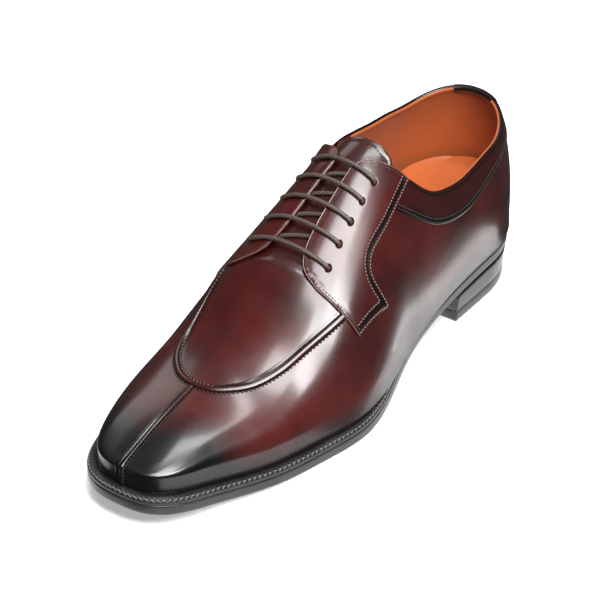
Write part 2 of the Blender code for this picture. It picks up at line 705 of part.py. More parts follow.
def lace_points():
    """The lace's route: a hidden run down to the toe, then a bar at each pair of
    eyelets and a slant below the facings to the next pair."""
    radius = LACE_DIAMETER / 2
    over = GAP + FACING_THICKNESS + GAP + radius
    under = -GAP - radius
    bend = [math.radians(angle) for angle in (22, 52, 90)]
    turn = [1 - math.cos(angle) for angle in bend]
    deep = [math.sin(angle) for angle in bend]
    holes = [(along * LENGTH, across * BALL_WIDTH) for along, across in EYELETS]
    route = []

    def add(across, along, offset):
        route.append(on_form(ridge(along) + across, along, offset))

    def rise(hole, side, start_across, start_along):
        """Up through an eyelet, from a run that comes from a place below."""
        along, across = hole
        reach = math.hypot(start_across - side * across, start_along - along)
        toward = ((start_across - side * across) / reach, (start_along - along) / reach)
        for back, drop in list(zip(turn, deep))[::-1]:
            flat = LACE_BEND * back
            add(side * across + toward[0] * flat, along + toward[1] * flat,
                under + LACE_BEND * (1 - drop))

    def sink(hole, side, end_across, end_along):
        count = len(route)
        rise(hole, side, end_across, end_along)
        route[count:] = route[count:][::-1]

    for along, across in holes[::-1]:
        add(across + SIDE_RUN, along, under)
    for number, hole in enumerate(holes):
        along, across = hole
        if number == 0:
            rise(hole, 1, across + SIDE_RUN, along)
        else:
            before_along, before_across = holes[number - 1]
            for mix in (0.25, 0.5, 0.75):
                add(-before_across * (1 - mix) + across * mix,
                    before_along * (1 - mix) + along * mix, under)
            rise(hole, 1, -before_across, before_along)
        for back, drop in zip(turn, deep):
            add(across - LACE_BEND * back, along, over - LACE_BEND * (1 - drop))
        for share in (0.58, 0.24, -0.24, -0.58):
            add(across * share, along, over)
        for back, drop in list(zip(turn, deep))[::-1]:
            add(-across + LACE_BEND * back, along, over - LACE_BEND * (1 - drop))
        if number + 1 < len(holes):
            next_along, next_across = holes[number + 1]
            sink(hole, -1, next_across, next_along)
        else:
            add(-across, along, GAP)
            add(-across, along, under)
    return np.array(route)


def make_laces(group):
    lace = tube_curve("laces", lace_points(), LACE_DIAMETER / 2, group)
    lace.data.materials.append(material("waxed_lace", (0.05, 0.035, 0.032), 0.5))
    weld = lace.modifiers.new("caps", "WELD")
    weld.merge_threshold = MERGE


def main():
    for old in list(bpy.data.objects):
        bpy.data.objects.remove(old)
    shoe = collection("split_toe_derby")
    cutters = collection("cutters")
    make_outsole(shoe)
    make_welt(shoe)
    make_heel(shoe)
    make_insole(shoe)
    make_upper(shoe, cutters)
    facing_look = material("facing_calf", (0.05, 0.011, 0.013), 0.22)
    make_facing("facing_lateral", 1, facing_look, shoe, cutters)
    make_facing("facing_medial", -1, facing_look, shoe, cutters)
    make_collar(shoe, cutters)
    make_tongue(shoe)
    make_laces(shoe)


main()
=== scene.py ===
"""Looks of one left split toe derby shoe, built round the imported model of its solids."""
import math

import bpy
import numpy as np
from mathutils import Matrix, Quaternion, Vector, geometry


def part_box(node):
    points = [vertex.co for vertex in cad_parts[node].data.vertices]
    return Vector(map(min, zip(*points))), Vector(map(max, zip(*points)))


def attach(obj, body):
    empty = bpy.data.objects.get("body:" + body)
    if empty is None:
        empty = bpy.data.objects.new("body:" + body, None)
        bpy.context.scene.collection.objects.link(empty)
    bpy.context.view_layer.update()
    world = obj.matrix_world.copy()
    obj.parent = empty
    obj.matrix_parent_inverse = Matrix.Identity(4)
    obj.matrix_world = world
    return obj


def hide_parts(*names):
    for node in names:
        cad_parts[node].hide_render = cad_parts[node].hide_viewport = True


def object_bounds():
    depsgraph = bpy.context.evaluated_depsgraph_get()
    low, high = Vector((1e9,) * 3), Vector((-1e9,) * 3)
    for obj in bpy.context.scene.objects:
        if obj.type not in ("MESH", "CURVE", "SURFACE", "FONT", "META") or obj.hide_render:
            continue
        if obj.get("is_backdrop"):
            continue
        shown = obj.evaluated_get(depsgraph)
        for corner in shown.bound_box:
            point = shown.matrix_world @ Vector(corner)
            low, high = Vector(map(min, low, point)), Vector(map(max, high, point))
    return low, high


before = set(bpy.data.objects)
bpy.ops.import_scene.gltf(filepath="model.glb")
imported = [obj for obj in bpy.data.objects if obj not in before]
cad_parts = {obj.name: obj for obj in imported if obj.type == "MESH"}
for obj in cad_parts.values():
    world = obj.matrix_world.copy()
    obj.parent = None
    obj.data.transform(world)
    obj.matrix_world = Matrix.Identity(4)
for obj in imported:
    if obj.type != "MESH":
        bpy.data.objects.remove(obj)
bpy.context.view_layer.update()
MM = 0.001


# Outsole
# One cut of firm sole leather under the whole shoe. It is sewn to the welt, trimmed and
# rounded with it, and its edge is inked black and ironed with wax, so that it shines a little.

LENGTH = 0.298
BALL_WIDTH = 0.100
INSTEP_HEIGHT = 0.096
BACK_HEIGHT = 0.072
HEEL_WIDEST = 0.013
TOE_WIDEST = 0.009
TUCK = 0.003
HEEL_RISE = 0.022
TOE_SPRING = 0.010
OUTSOLE_THICKNESS = 0.006
WELT_THICKNESS = 0.003
EDGE_LEDGE = 0.0055
SIDE_COUNT = 261
FINE_STEPS = 6000

SECTIONS = (
    (0.00, 0.335, 0.330, 0.000, 0.99, 2.20, 2.10),
    (0.14, 0.345, 0.340, 0.000, 1.01, 2.20, 2.10),
    (0.30, 0.365, 0.350, -0.015, 1.04, 2.20, 2.10),
    (0.42, 0.415, 0.370, -0.040, 1.00, 2.30, 2.05),
    (0.52, 0.500, 0.410, -0.070, 0.86, 2.25, 2.15),
    (0.62, 0.540, 0.455, -0.095, 0.665, 2.10, 2.15),
    (0.70, 0.505, 0.450, -0.115, 0.475, 2.10, 2.00),
    (0.80, 0.435, 0.415, -0.125, 0.33, 2.20, 2.05),
    (0.90, 0.325, 0.335, -0.125, 0.25, 2.30, 2.20),
    (1.00, 0.285, 0.280, -0.120, 0.14, 2.40, 2.30),
)
HEEL_ROUND = (0.14, 2.1)
TOE_ROUND = (0.82, 3.0)
SOLE_LINE = (
    (0.00, 1.00, 0.00), (0.12, 0.93, 0.00), (0.24, 0.84, 0.00), (0.38, 0.50, 0.00),
    (0.50, 0.15, 0.00), (0.60, 0.00, 0.00), (0.70, 0.00, 0.00), (0.80, 0.00, 0.13),
    (0.90, 0.00, 0.50), (1.00, 0.00, 1.00),
)
LEDGE = (
    (0.00, -0.10), (0.12, -0.10), (0.25, -0.18), (0.40, -0.28), (0.50, 0.10),
    (0.62, 0.64), (0.75, 0.82), (0.90, 0.91), (1.00, 1.00),
)


def spline(rows):
    """Natural cubic through the rows, straight beyond them."""
    table = np.array(rows, float)
    xs, ys = table[:, 0], table[:, 1:]
    count = len(xs)
    step = np.diff(xs)
    slope = np.diff(ys, axis=0) / step[:, None]
    system = np.eye(count)
    right = np.zeros_like(ys)
    for i in range(1, count - 1):
        system[i, i - 1:i + 2] = step[i - 1], 2 * (step[i - 1] + step[i]), step[i]
        right[i] = 3 * (slope[i] - slope[i - 1])
    curve = np.linalg.solve(system, right)

    def value(x):
        x = np.asarray(x, float)
        inside = np.clip(x, xs[0], xs[-1])
        i = np.clip(np.searchsorted(xs, inside) - 1, 0, count - 2)
        d = (inside - xs[i])[..., None]
        h = step[i][..., None]
        bend = (curve[i + 1] - curve[i]) / (3 * h)
        first = slope[i] - h * (2 * curve[i] + curve[i + 1]) / 3
        result = ys[i] + d * (first + d * (curve[i] + d * bend))
        result += (x - inside)[..., None] * (first + d * (2 * curve[i] + 3 * d * bend))
        return result[..., 0] if ys.shape[1] == 1 else result
    return value


section = spline(SECTIONS)
sole_line = spline(SOLE_LINE)
ledge_share = spline(LEDGE)


def smooth(low, high, x):
    """From 0 to 1 between two values, without a kink."""
    share = np.clip((np.asarray(x, float) - low) / (high - low), 0, 1)
    return share * share * (3 - 2 * share)


def underside(along):
    shares = sole_line(along / LENGTH)
    return np.maximum(shares[..., 0] * HEEL_RISE + shares[..., 1] * TOE_SPRING, 0)


def sole_top(along):
    return underside(along) + OUTSOLE_THICKNESS + WELT_THICKNESS


def widest_height(along):
    share = np.clip(along / LENGTH, 0, 1)
    return sole_top(along) + HEEL_WIDEST + (TOE_WIDEST - HEEL_WIDEST) * share ** 2


def ridge(along):
    return section(along / LENGTH)[..., 2] * BALL_WIDTH


def end_distance(share):
    """How far a place is into the round of the heel or of the toe, from 0 to 1."""
    heel = (HEEL_ROUND[0] - share) / HEEL_ROUND[0]
    toe = (share - TOE_ROUND[0]) / (1 - TOE_ROUND[0])
    return np.clip(np.maximum(heel, toe), 0, 1)


def half_width(along, side):
    """Half width at the last's widest line; side is 1 for lateral and -1 for medial."""
    share = along / LENGTH
    row = section(share)
    width = np.where(side > 0, row[..., 0], row[..., 1]) * BALL_WIDTH
    power = np.where(share < 0.5, HEEL_ROUND[1], TOE_ROUND[1])
    return width * np.clip(1 - end_distance(share) ** power, 0, 1) ** (1 / power)


def unit(vectors):
    return vectors / np.maximum(np.linalg.norm(vectors, axis=-1, keepdims=True), 1e-12)


def walk(points):
    """How far along a line each of its points lies."""
    return np.concatenate([[0], np.cumsum(np.linalg.norm(np.diff(points, axis=0), axis=1))])


def outline_side(side, end, count):
    """One side of the widest line, from the back of the heel, in even steps."""
    turn = np.linspace(0, math.pi, FINE_STEPS)
    along = end * (1 - np.cos(turn)) / 2
    if end < LENGTH:
        along = end * (1 - np.cos(turn / 2))
    across = ridge(along) + side * half_width(along, side)
    walked = walk(np.stack([across, along], axis=-1))
    even = np.linspace(0, walked[-1], count)
    return np.stack([np.interp(even, walked, across), np.interp(even, walked, along)], axis=-1)


def widest_line(count):
    """Lateral side to the toe, medial side back, and the normals of this loop."""
    lateral = outline_side(1, LENGTH, count)
    medial = outline_side(-1, LENGTH, count)
    loop = np.concatenate([lateral, medial[-2:0:-1]])
    tangent = unit(np.roll(loop, -1, axis=0) - np.roll(loop, 1, axis=0))
    return loop, np.stack([tangent[:, 1], -tangent[:, 0]], axis=-1)


LOOP, LOOP_NORMAL = widest_line(SIDE_COUNT)
SOLE_EDGE = LOOP + LOOP_NORMAL * (ledge_share(LOOP[:, 1] / LENGTH) * EDGE_LEDGE)[:, None]
CENTRE = np.array([
    (SOLE_EDGE[:, 0].max() + SOLE_EDGE[:, 0].min()) / 2, SOLE_EDGE[:, 1].max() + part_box("outsole")[0].y, 0])


def place(points):
    """From across, along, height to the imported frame."""
    return (np.asarray(points, float) - CENTRE) * np.array([1, -1, 1])


def grid_faces(rows, columns, closed=False, first=0):
    """Quads of a grid of points, whose columns may close into a ring."""
    i, j = np.meshgrid(np.arange(rows - 1), np.arange(columns - (not closed)), indexing="ij")
    k = (j + 1) % columns
    quads = np.stack([i * columns + j, i * columns + k, (i + 1) * columns + k, (i + 1) * columns + j], -1)
    return (quads.reshape(-1, 4) + first).tolist()


def loop_cap(count, first=0):
    """Quads across a closed loop of points, from its lateral to its medial side."""
    half = count // 2
    faces = [(first, first + 1, first + count - 1)]
    for i in range(1, half - 1):
        faces.append((first + i, first + i + 1, first + count - i - 1, first + count - i))
    faces.append((first + half - 1, first + half, first + half + 1))
    return faces


def piece(name, points, faces, look, slot, replaced=(), outward=1, attributes=None):
    """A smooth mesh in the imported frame, whose faces look away from its middle."""
    points = place(points)
    mesh = bpy.data.meshes.new(name)
    mesh.from_pydata(points.tolist(), [], faces)
    mesh.update()
    if outward:
        count = len(mesh.polygons)
        normals, centres, areas = np.empty(count * 3), np.empty(count * 3), np.empty(count)
        mesh.polygons.foreach_get("normal", normals)
        mesh.polygons.foreach_get("center", centres)
        mesh.polygons.foreach_get("area", areas)
        away = centres.reshape(-1, 3) - points.mean(axis=0)
        if ((normals.reshape(-1, 3) * away).sum(axis=1) * areas).sum() * outward < 0:
            mesh.flip_normals()
    mesh.polygons.foreach_set("use_smooth", [True] * len(mesh.polygons))
    for key, values in (attributes or {}).items():
        made = mesh.attributes.new(key, "FLOAT", "POINT")
        made.data.foreach_set("value", np.asarray(values, np.float32))
    mesh.materials.append(look)
    made = bpy.data.objects.new(name, mesh)
    bpy.context.scene.collection.objects.link(made)
    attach(made, "root")
    if replaced:
        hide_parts(*replaced)
    return made


def walled(made, thickness, offset):
    """Gives a sheet its thickness, with crisp cut edges."""
    step = made.modifiers.new("wall", "SOLIDIFY")
    step.thickness, step.offset = thickness, offset
    bpy.context.view_layer.update()
    thick = made.evaluated_get(bpy.context.evaluated_depsgraph_get())
    mesh = bpy.data.meshes.new_from_object(thick)
    made.modifiers.clear()
    made.data = mesh
    mesh.set_sharp_from_angle(angle=math.radians(50))


def linear(code, alpha=1.0):
    """An sRGB hex colour as linear values."""
    parts = [int(code[i:i + 2], 16) / 255 for i in (1, 3, 5)]
    return (*[c / 12.92 if c <= 0.04045 else ((c + 0.055) / 1.055) ** 2.4 for c in parts], alpha)


def node(look, kind, inputs=None, **settings):
    """A node in a material, with its settings and with its inputs given or linked."""
    made = look.node_tree.nodes.new(kind)
    for key, value in settings.items():
        setattr(made, key, value)
    for key, value in (inputs or {}).items():
        if isinstance(value, bpy.types.NodeSocket):
            look.node_tree.links.new(value, made.inputs[key])
        else:
            made.inputs[key].default_value = value
    return made


def finish_with(name, sockets):
    """A new material and its Principled shader; sockets maps its inputs to values."""
    look = bpy.data.materials.new(name)
    look.use_nodes = True
    shader = look.node_tree.nodes["Principled BSDF"]
    for key, value in sockets.items():
        shader.inputs[key].default_value = value
    return look, shader


def wire(look, shader, outputs):
    """Links outputs of nodes to inputs of the shader, by name."""
    for key, output in outputs.items():
        look.node_tree.links.new(output, shader.inputs[key])


def coordinates(look):
    return node(look, "ShaderNodeTexCoord").outputs["Object"]


def noise(look, where, scale, detail, roughness=0.5):
    """A cloudy pattern; a scale of 100 has clouds of about 10 mm."""
    return node(look, "ShaderNodeTexNoise", {
        "Vector": where, "Scale": scale, "Detail": detail, "Roughness": roughness}).outputs[0]


def ranged(look, value, low, high, to_low=0.0, to_high=1.0, **settings):
    return node(look, "ShaderNodeMapRange", {
        "Value": value, "From Min": low, "From Max": high, "To Min": to_low, "To Max": to_high},
        **settings).outputs[0]


def mixed(look, factor, first, second):
    """A colour between two, each a hex code or another node's colour."""
    first, second = [linear(colour) if isinstance(colour, str) else colour for colour in (first, second)]
    return node(look, "ShaderNodeMix", {"Factor": factor, 6: first, 7: second}, data_type="RGBA").outputs[2]


def relief(look, height, strength, distance, **under):
    """Bump of a pattern, of a depth in metres, over another one if given as Normal."""
    return node(look, "ShaderNodeBump", {
        "Height": height, "Strength": strength, "Distance": distance, **under}).outputs[0]


def inked_edge(name, dark, worn, roughness):
    """Sole leather, inked black and waxed with a hot iron.

    The wax fills the cut fibre, so it has a soft shine that is broken by fine level
    lines from trimming and by faint rubbed places."""
    look, shader = finish_with(name, {"Coat Weight": 0.5, "Coat Roughness": 0.30, "IOR": 1.5})
    where = coordinates(look)
    level = node(look, "ShaderNodeMapping", {"Vector": where, "Scale": (60, 60, 900)}).outputs[0]
    rubbed = noise(look, where, 45.0, 6.0, 0.6)
    wire(look, shader, {
        "Base Color": mixed(look, ranged(look, rubbed, 0.42, 0.75), dark, worn),
        "Roughness": ranged(look, rubbed, 0.0, 1.0, roughness - 0.08, roughness + 0.14),
        "Normal": relief(look, noise(look, level, 1.0, 2.0), 0.10, 0.0002)})
    return look


def edge_rings(inset, height, loop=LOOP, normal=LOOP_NORMAL):
    """Closed rings of points along the sole's edge, from insets and heights in mm."""
    rings = []
    for way_in, high in zip(inset, height):
        out = ledge_share(loop[:, 1] / LENGTH) * EDGE_LEDGE - way_in * MM
        ring = loop + normal * out[:, None]
        rings.append(np.column_stack([ring, underside(loop[:, 1]) + high * MM]))
    return np.array(rings)


sole_edge = inked_edge("inked_sole_edge", "#1b1c1d", "#2b2c2e", 0.34)
OUTSOLE_INSET = (2.6, 1.2, 0.55, 0.18, 0.02, 0.0, 0.0, 0.0, 0.06, 0.25, 0.6)
OUTSOLE_HEIGHT = (0.0, 0.06, 0.28, 0.7, 1.3, 2.2, 3.6, 4.9, 5.5, 5.85, 6.0)
rings = edge_rings(OUTSOLE_INSET, OUTSOLE_HEIGHT)
levels, around = rings.shape[:2]
faces = grid_faces(levels, around, closed=True)
faces += [face[::-1] for face in loop_cap(around)]
faces += loop_cap(around, (levels - 1) * around)
piece("outsole_leather", rings.reshape(-1, 3), faces, sole_edge, "sole_leather", ("outsole",))


# Welt
# A strip of leather sewn round the foot of the upper and stitched down to the outsole. Its top
# is inked black, and a hot wheel has pressed a row of short ribs, one over each stitch.

WELT_PITCH = 2.9
WELT_COUNT = 1261
welt_loop, welt_normal = widest_line(WELT_COUNT)
welt_leather = inked_edge("inked_welt", "#131313", "#262626", 0.42)
WELT_INSET = (0.5, 0.14, 0.0, 0.0, 0.08, 0.35, 0.8, 1.25, 1.8, 2.3, 6.2)
WELT_HEIGHT = (6.15, 6.3, 6.7, 8.0, 8.55, 8.86, 9.0, 9.0, 8.85, 8.9, 9.0)
RIB_DEPTH = (0, 0, 0, 0.02, 0.16, 0.34, 0.4, 0.4, 0.16, 0, 0)
rings = edge_rings(WELT_INSET, WELT_HEIGHT, welt_loop, welt_normal)
rings = np.concatenate([rings, rings[-1:] - np.array([0, 0, 2.7 * MM])])
step = np.linalg.norm(np.diff(rings[3][:, :2], axis=0, append=rings[3][:1, :2]), axis=1)
walked = np.concatenate([[0], np.cumsum(step)[:-1]])
welted = smooth(0.40, 0.47, welt_loop[:, 1] / LENGTH)
rib = np.clip(np.cos(2 * math.pi * walked / (WELT_PITCH * MM)) * 1.6, -1, 1) * 0.5 - 0.5
for ring, deep in zip(rings, RIB_DEPTH):
    ring[:, 2] += rib * welted * deep * MM
levels, around = rings.shape[:2]
faces = grid_faces(levels, around, closed=True)
inner = (levels - 1) * around
faces += [(i, (i + 1) % around, inner + (i + 1) % around, inner + i) for i in range(around)]
piece("welt_strip", rings.reshape(-1, 3), faces, welt_leather, "welt_leather", ("welt",))


# Welt stitches
# Waxed linen thread through the welt and the outsole, in a groove close to the edge. Each
# stitch shows between two ribs of the wheel, lighter than the inked leather.

def thread(name, light, dark):
    """Waxed linen thread: matt, twisted, a little darker where the wax has gathered."""
    look, shader = finish_with(name, {"Coat Weight": 0.15, "Coat Roughness": 0.4, "Roughness": 0.55})
    twist = noise(look, coordinates(look), 1800.0, 2.0)
    colour = mixed(look, twist, dark, light)
    wire(look, shader, {"Base Color": colour, "Normal": relief(look, twist, 0.5, 0.0001)})
    return look


def stitch_mesh(centres, tangents, normals, length, width, height):
    """Points and faces of a row of short, rounded stitches that lie along a line."""
    profile = ((-1.0, 0.25, -0.75), (-0.86, 0.72, -0.05), (-0.45, 1.0, 0.55),
               (0.45, 1.0, 0.55), (0.86, 0.72, -0.05), (1.0, 0.25, -0.75))
    sides = 6
    turn = np.arange(sides) / sides * 2 * math.pi
    template = np.array([
        (along * length / 2, math.cos(a) * swell * width / 2, (math.sin(a) * swell * 0.5 + lift) * height)
        for along, swell, lift in profile for a in turn])
    points = (centres[:, None] + template[:, :1] * tangents[:, None]
              + template[:, 1:2] * np.cross(normals, tangents)[:, None] + template[:, 2:] * normals[:, None])
    count = len(template)
    one = grid_faces(len(profile), sides, closed=True)
    one += [tuple(range(sides))[::-1], tuple(range(count - sides, count))]
    faces = [tuple(i + count * k for i in face) for k in range(len(centres)) for face in one]
    return points.reshape(-1, 3), faces


def sew(name, points, normals, look, slot, pitch, length, width, height):
    """A row of stitches along a line on the shoe, with the surface's normals; sizes in mm."""
    walked = walk(points)
    spots = pitch * MM * (np.arange(int(walked[-1] / (pitch * MM))) + 0.5)

    def at(values, s):
        return np.column_stack([np.interp(s, walked, values[:, k]) for k in range(3)])

    quarter = length * MM / 4
    tangents = unit(at(points, spots + quarter) - at(points, spots - quarter))
    upright = at(normals, spots)
    upright = unit(upright - (upright * tangents).sum(axis=1, keepdims=True) * tangents)
    mesh = stitch_mesh(at(points, spots), tangents, upright, length * MM, width * MM, height * MM)
    piece(name, *mesh, look, slot, outward=0)


welt_thread = thread("waxed_welt_thread", "#8f8c85", "#55524d")
line = edge_rings((0.75,), (8.95,), welt_loop, welt_normal)[0]
keep = welt_loop[:, 1] > 0.45 * LENGTH
line = line[keep]
sew("welt_stitches", line, np.tile([0.0, 0, 1], (len(line), 1)), welt_thread, "welt_leather",
    WELT_PITCH, 1.9, 0.55, 0.42)


# Heel
# Three lifts of leather, glued and nailed under the seat, and a rubber top lift that meets the
# ground. The flank is rasped smooth, inked black and polished, so the lifts barely show.

HEEL_LENGTH = 0.0745
HEEL_TAPER = 0.0012
HEEL_INSET = 0.0003
TOP_LIFT = 0.006
HEEL_COUNT = 90


def heel_ring(inset, height, breast=0.0):
    """A closed ring round the heel: lateral side, breast and medial side."""
    sides = []
    for side in (1, -1):
        row = outline_side(side, HEEL_LENGTH, HEEL_COUNT)
        tangent = np.gradient(row, axis=0)
        tangent[0] = (side, 0)
        tangent = unit(tangent)
        normal = np.stack([tangent[:, 1], -tangent[:, 0]], axis=-1) * side
        row = row + normal * (ledge_share(row[:, 1] / LENGTH) * EDGE_LEDGE - inset)[:, None]
        row[:, 1] = np.minimum(row[:, 1], HEEL_LENGTH - breast)
        sides.append(row)
    lateral, medial = sides
    across = np.linspace(0, 1, 13)[1:-1, None]
    face = lateral[-1] * (1 - across) + medial[-1] * across
    ring = np.concatenate([lateral, face, medial[::-1][:-1]])
    return np.column_stack([ring, height(ring[:, 1])])


def heel_piece(name, profile, look, slot, node_name):
    """Rings from (inset, height function) pairs, closed above and below."""
    rings = np.array([heel_ring(inset, height, breast) for inset, breast, height in profile])
    levels, around = rings.shape[:2]
    faces = grid_faces(levels, around, closed=True)
    faces.append(tuple(range(around))[::-1])
    faces.append(tuple(range((levels - 1) * around, levels * around)))
    return piece(name, rings.reshape(-1, 3), faces, look, slot, (node_name,))


def between(share):
    """Height at a share of the stack, from the top lift to the seat."""
    return lambda along: (TOP_LIFT + 0.3 * MM) * (1 - share) + (underside(along) - 0.3 * MM) * share


def level_at(height):
    return lambda along: np.full_like(along, height)


heel_leather = inked_edge("inked_heel", "#0e0e0e", "#1a1a1a", 0.30)
profile = [(0.0017, 0.0002, between(0.0)), (0.0015, 0.0001, between(0.008))]
for joint in (1 / 3, 2 / 3):
    for off, groove in ((-0.03, 0), (0, 0.02 * MM), (0.03, 0)):
        taper = HEEL_TAPER * (1 - joint - off)
        profile.append((HEEL_INSET + taper + groove, groove, between(joint + off)))
profile += [(HEEL_INSET, 0.0, between(0.992)), (0.0007, 0.0003, between(1.0))]
heel_piece("heel_lifts", profile, heel_leather, "heel_leather", "heel_stack")

top_lift_rubber = inked_edge("moulded_top_lift", "#101010", "#1a1a1a", 0.36)
narrow = HEEL_INSET + HEEL_TAPER
profile = [
    (narrow + 0.0009, 0.0009, level_at(0.0)), (narrow + 0.0003, 0.0003, level_at(0.0003)),
    (narrow, 0.0, level_at(0.0010)), (narrow, 0.0, level_at(TOP_LIFT - 0.0003)),
    (narrow + 0.0001, 0.0001, level_at(TOP_LIFT)),
]
heel_piece("rubber_top_lift", profile, top_lift_rubber, "top_lift_rubber", "top_lift")


# Upper
# Vamp, wings and quarters of burgundy calf, drawn over the last and left on it until the shape
# is set. The finish is aniline dye and cream, burnished nearly black at the toe and edges.

TOPLINE_UNIT = (0.10, 0.33)
FRONT_UNIT = 0.75
TOPLINE_SLOPE = 0.56
TOPLINE = (
    (-0.03, 1.00, 1.00), (0.03, 0.98, 0.98), (0.07, 0.93, 0.935), (0.12, 0.87, 0.90),
    (0.18, 0.84, 0.95), (0.24, 0.83, 1.00), (0.28, 0.865, 1.06), (0.32, 0.935, 1.13),
    (0.35, 1.04, 1.20), (0.37, 1.145, 1.255), (0.42, 1.38, 1.42),
)
COLLAR = (
    (-0.03, 0.70), (0.05, 0.68), (0.12, 0.64), (0.16, 0.78), (0.21, 0.98),
    (0.27, 1.00), (0.33, 1.02), (0.38, 1.20), (0.42, 1.30),
)
COLLAR_WIDTH = 0.018
EYELETS = (
    (0.566, 0.230), (0.530, 0.210), (0.495, 0.195), (0.461, 0.182), (0.427, 0.172),
)
THROAT_MARGIN = 0.006
THROAT_START = 0.37
THROAT_END = 0.600
UPPER_WALL = 0.0012
CROSSING_STEPS = 900
topline_share = spline(TOPLINE)
collar_share = spline(COLLAR)
eyelet_out = spline(EYELETS[::-1])


def surface(across, along):
    """Height of the last's upper surface over a place."""
    share = along / LENGTH
    row = section(share)
    from_ridge = across - row[..., 2] * BALL_WIDTH
    width = np.where(from_ridge > 0, row[..., 0], row[..., 1]) * BALL_WIDTH
    power = np.where(share < 0.5, HEEL_ROUND[1], TOE_ROUND[1])
    out = ((np.abs(from_ridge) / width) ** power + end_distance(share) ** power) ** (1 / power)
    low = widest_height(along)
    high = sole_top(along) + row[..., 3] * INSTEP_HEIGHT
    fall = np.clip(1 - np.clip(out, 0, 1) ** row[..., 4], 0, 1)
    return low + (high - low) * fall ** (1 / row[..., 5])


def form_normal(across, along):
    step = 0.00005
    rise_x = (surface(across + step, along) - surface(across - step, along)) / (2 * step)
    rise_y = (surface(across, along + step) - surface(across, along - step)) / (2 * step)
    return unit(np.stack([-rise_x, -rise_y, np.ones_like(rise_x)], axis=-1))


def on_form(across, along, offset=0.0):
    """Points over or under the last's surface, measured square to it."""
    across, along = np.broadcast_arrays(np.asarray(across, float), np.asarray(along, float))
    point = np.stack([across, along, surface(across, along)], axis=-1)
    return point + form_normal(across, along) * np.asarray(offset)[..., None]


def topline_height(across, along):
    """Height of the topline's sheet, which slopes from side to side."""
    shares = topline_share(along / LENGTH)
    mix = across / (BALL_WIDTH * TOPLINE_SLOPE) + 0.5
    front = smooth(*TOPLINE_UNIT, along / LENGTH)
    unit_height = BACK_HEIGHT * (1 - front) + INSTEP_HEIGHT * FRONT_UNIT * front
    return sole_top(along) + unit_height * (shares[..., 0] * mix + shares[..., 1] * (1 - mix))


# The place on the ridge that each point of the widest line is drawn towards
SPINE_ALONG = np.clip((LOOP[:SIDE_COUNT, 1] + np.roll(LOOP[::-1], 1, axis=0)[:SIDE_COUNT, 1]) / 2,
                      HEEL_ROUND[0] * LENGTH, TOE_ROUND[0] * LENGTH)
SPINE = np.stack([ridge(SPINE_ALONG), SPINE_ALONG], axis=-1)
SPINE = np.concatenate([SPINE, SPINE[-2:0:-1]])


def ring_places(level, order=slice(None)):
    """Places between the widest line, at level 1, and the ridge, at level 0, by columns."""
    share = np.sin(level[order] * math.pi / 2)[:, None]
    return LOOP[order] * share + SPINE[order] * (1 - share)


def crossing(test):
    """Level at which each column of the form first passes a test, coming up its side."""
    steps = np.linspace(1, 0, CROSSING_STEPS)
    found = np.zeros(len(LOOP))
    waiting = np.ones(len(LOOP), bool)
    before = None
    for level in steps:
        places = ring_places(np.full(len(LOOP), level))
        value = test(*places.T)
        if before is not None:
            hit = waiting & (value >= 0) & (before < 0)
            part = before[hit] / (before[hit] - value[hit])
            found[hit] = level + (steps[0] - steps[1]) * (1 - part)
            waiting[hit] = False
        before = value
    return found


def below_topline(drop):
    """A test that turns positive at a depth below the topline."""
    return lambda across, along: surface(across, along) - topline_height(across, along) + drop(along)


def throat_test(across, along):
    half = eyelet_out(np.clip(along / LENGTH, EYELETS[-1][0], EYELETS[0][0])) * BALL_WIDTH + THROAT_MARGIN
    return np.where(along > THROAT_START * LENGTH, half - np.abs(across - ridge(along)), -1)


topline_level = crossing(below_topline(lambda along: 0 * along))
throat_level = crossing(throat_test)
toe_side = SPINE[:, 1] > THROAT_END * LENGTH
first_toe = int(np.argmax(toe_side))
limit = np.maximum(topline_level, np.where(toe_side, 0, throat_level))
limit[toe_side] = limit[first_toe - 1]
last_toe = len(LOOP) - first_toe
limit[first_toe:last_toe + 1] = np.linspace(
    limit[first_toe - 1], limit[last_toe + 1], last_toe + 1 - first_toe)


def burnish_and_shade(points):
    """How far the calf is darkened by burnishing, from 0 to 1, at places on the shoe; some pieces add painted
    shade to it.
    """
    across, along, high = points[:, 0], points[:, 1], points[:, 2]
    share = along / LENGTH
    toe = smooth(0.825, 0.95, share + 0.02 * np.sin(across * 90))
    rise = high - sole_top(along)
    foot = 0.75 * (1 - smooth(0.0, 0.016, rise))
    counter = 0.35 * (1 - smooth(0.0, 0.10, share))
    return np.clip(1 - (1 - toe) * (1 - foot) * (1 - counter), 0, 1)


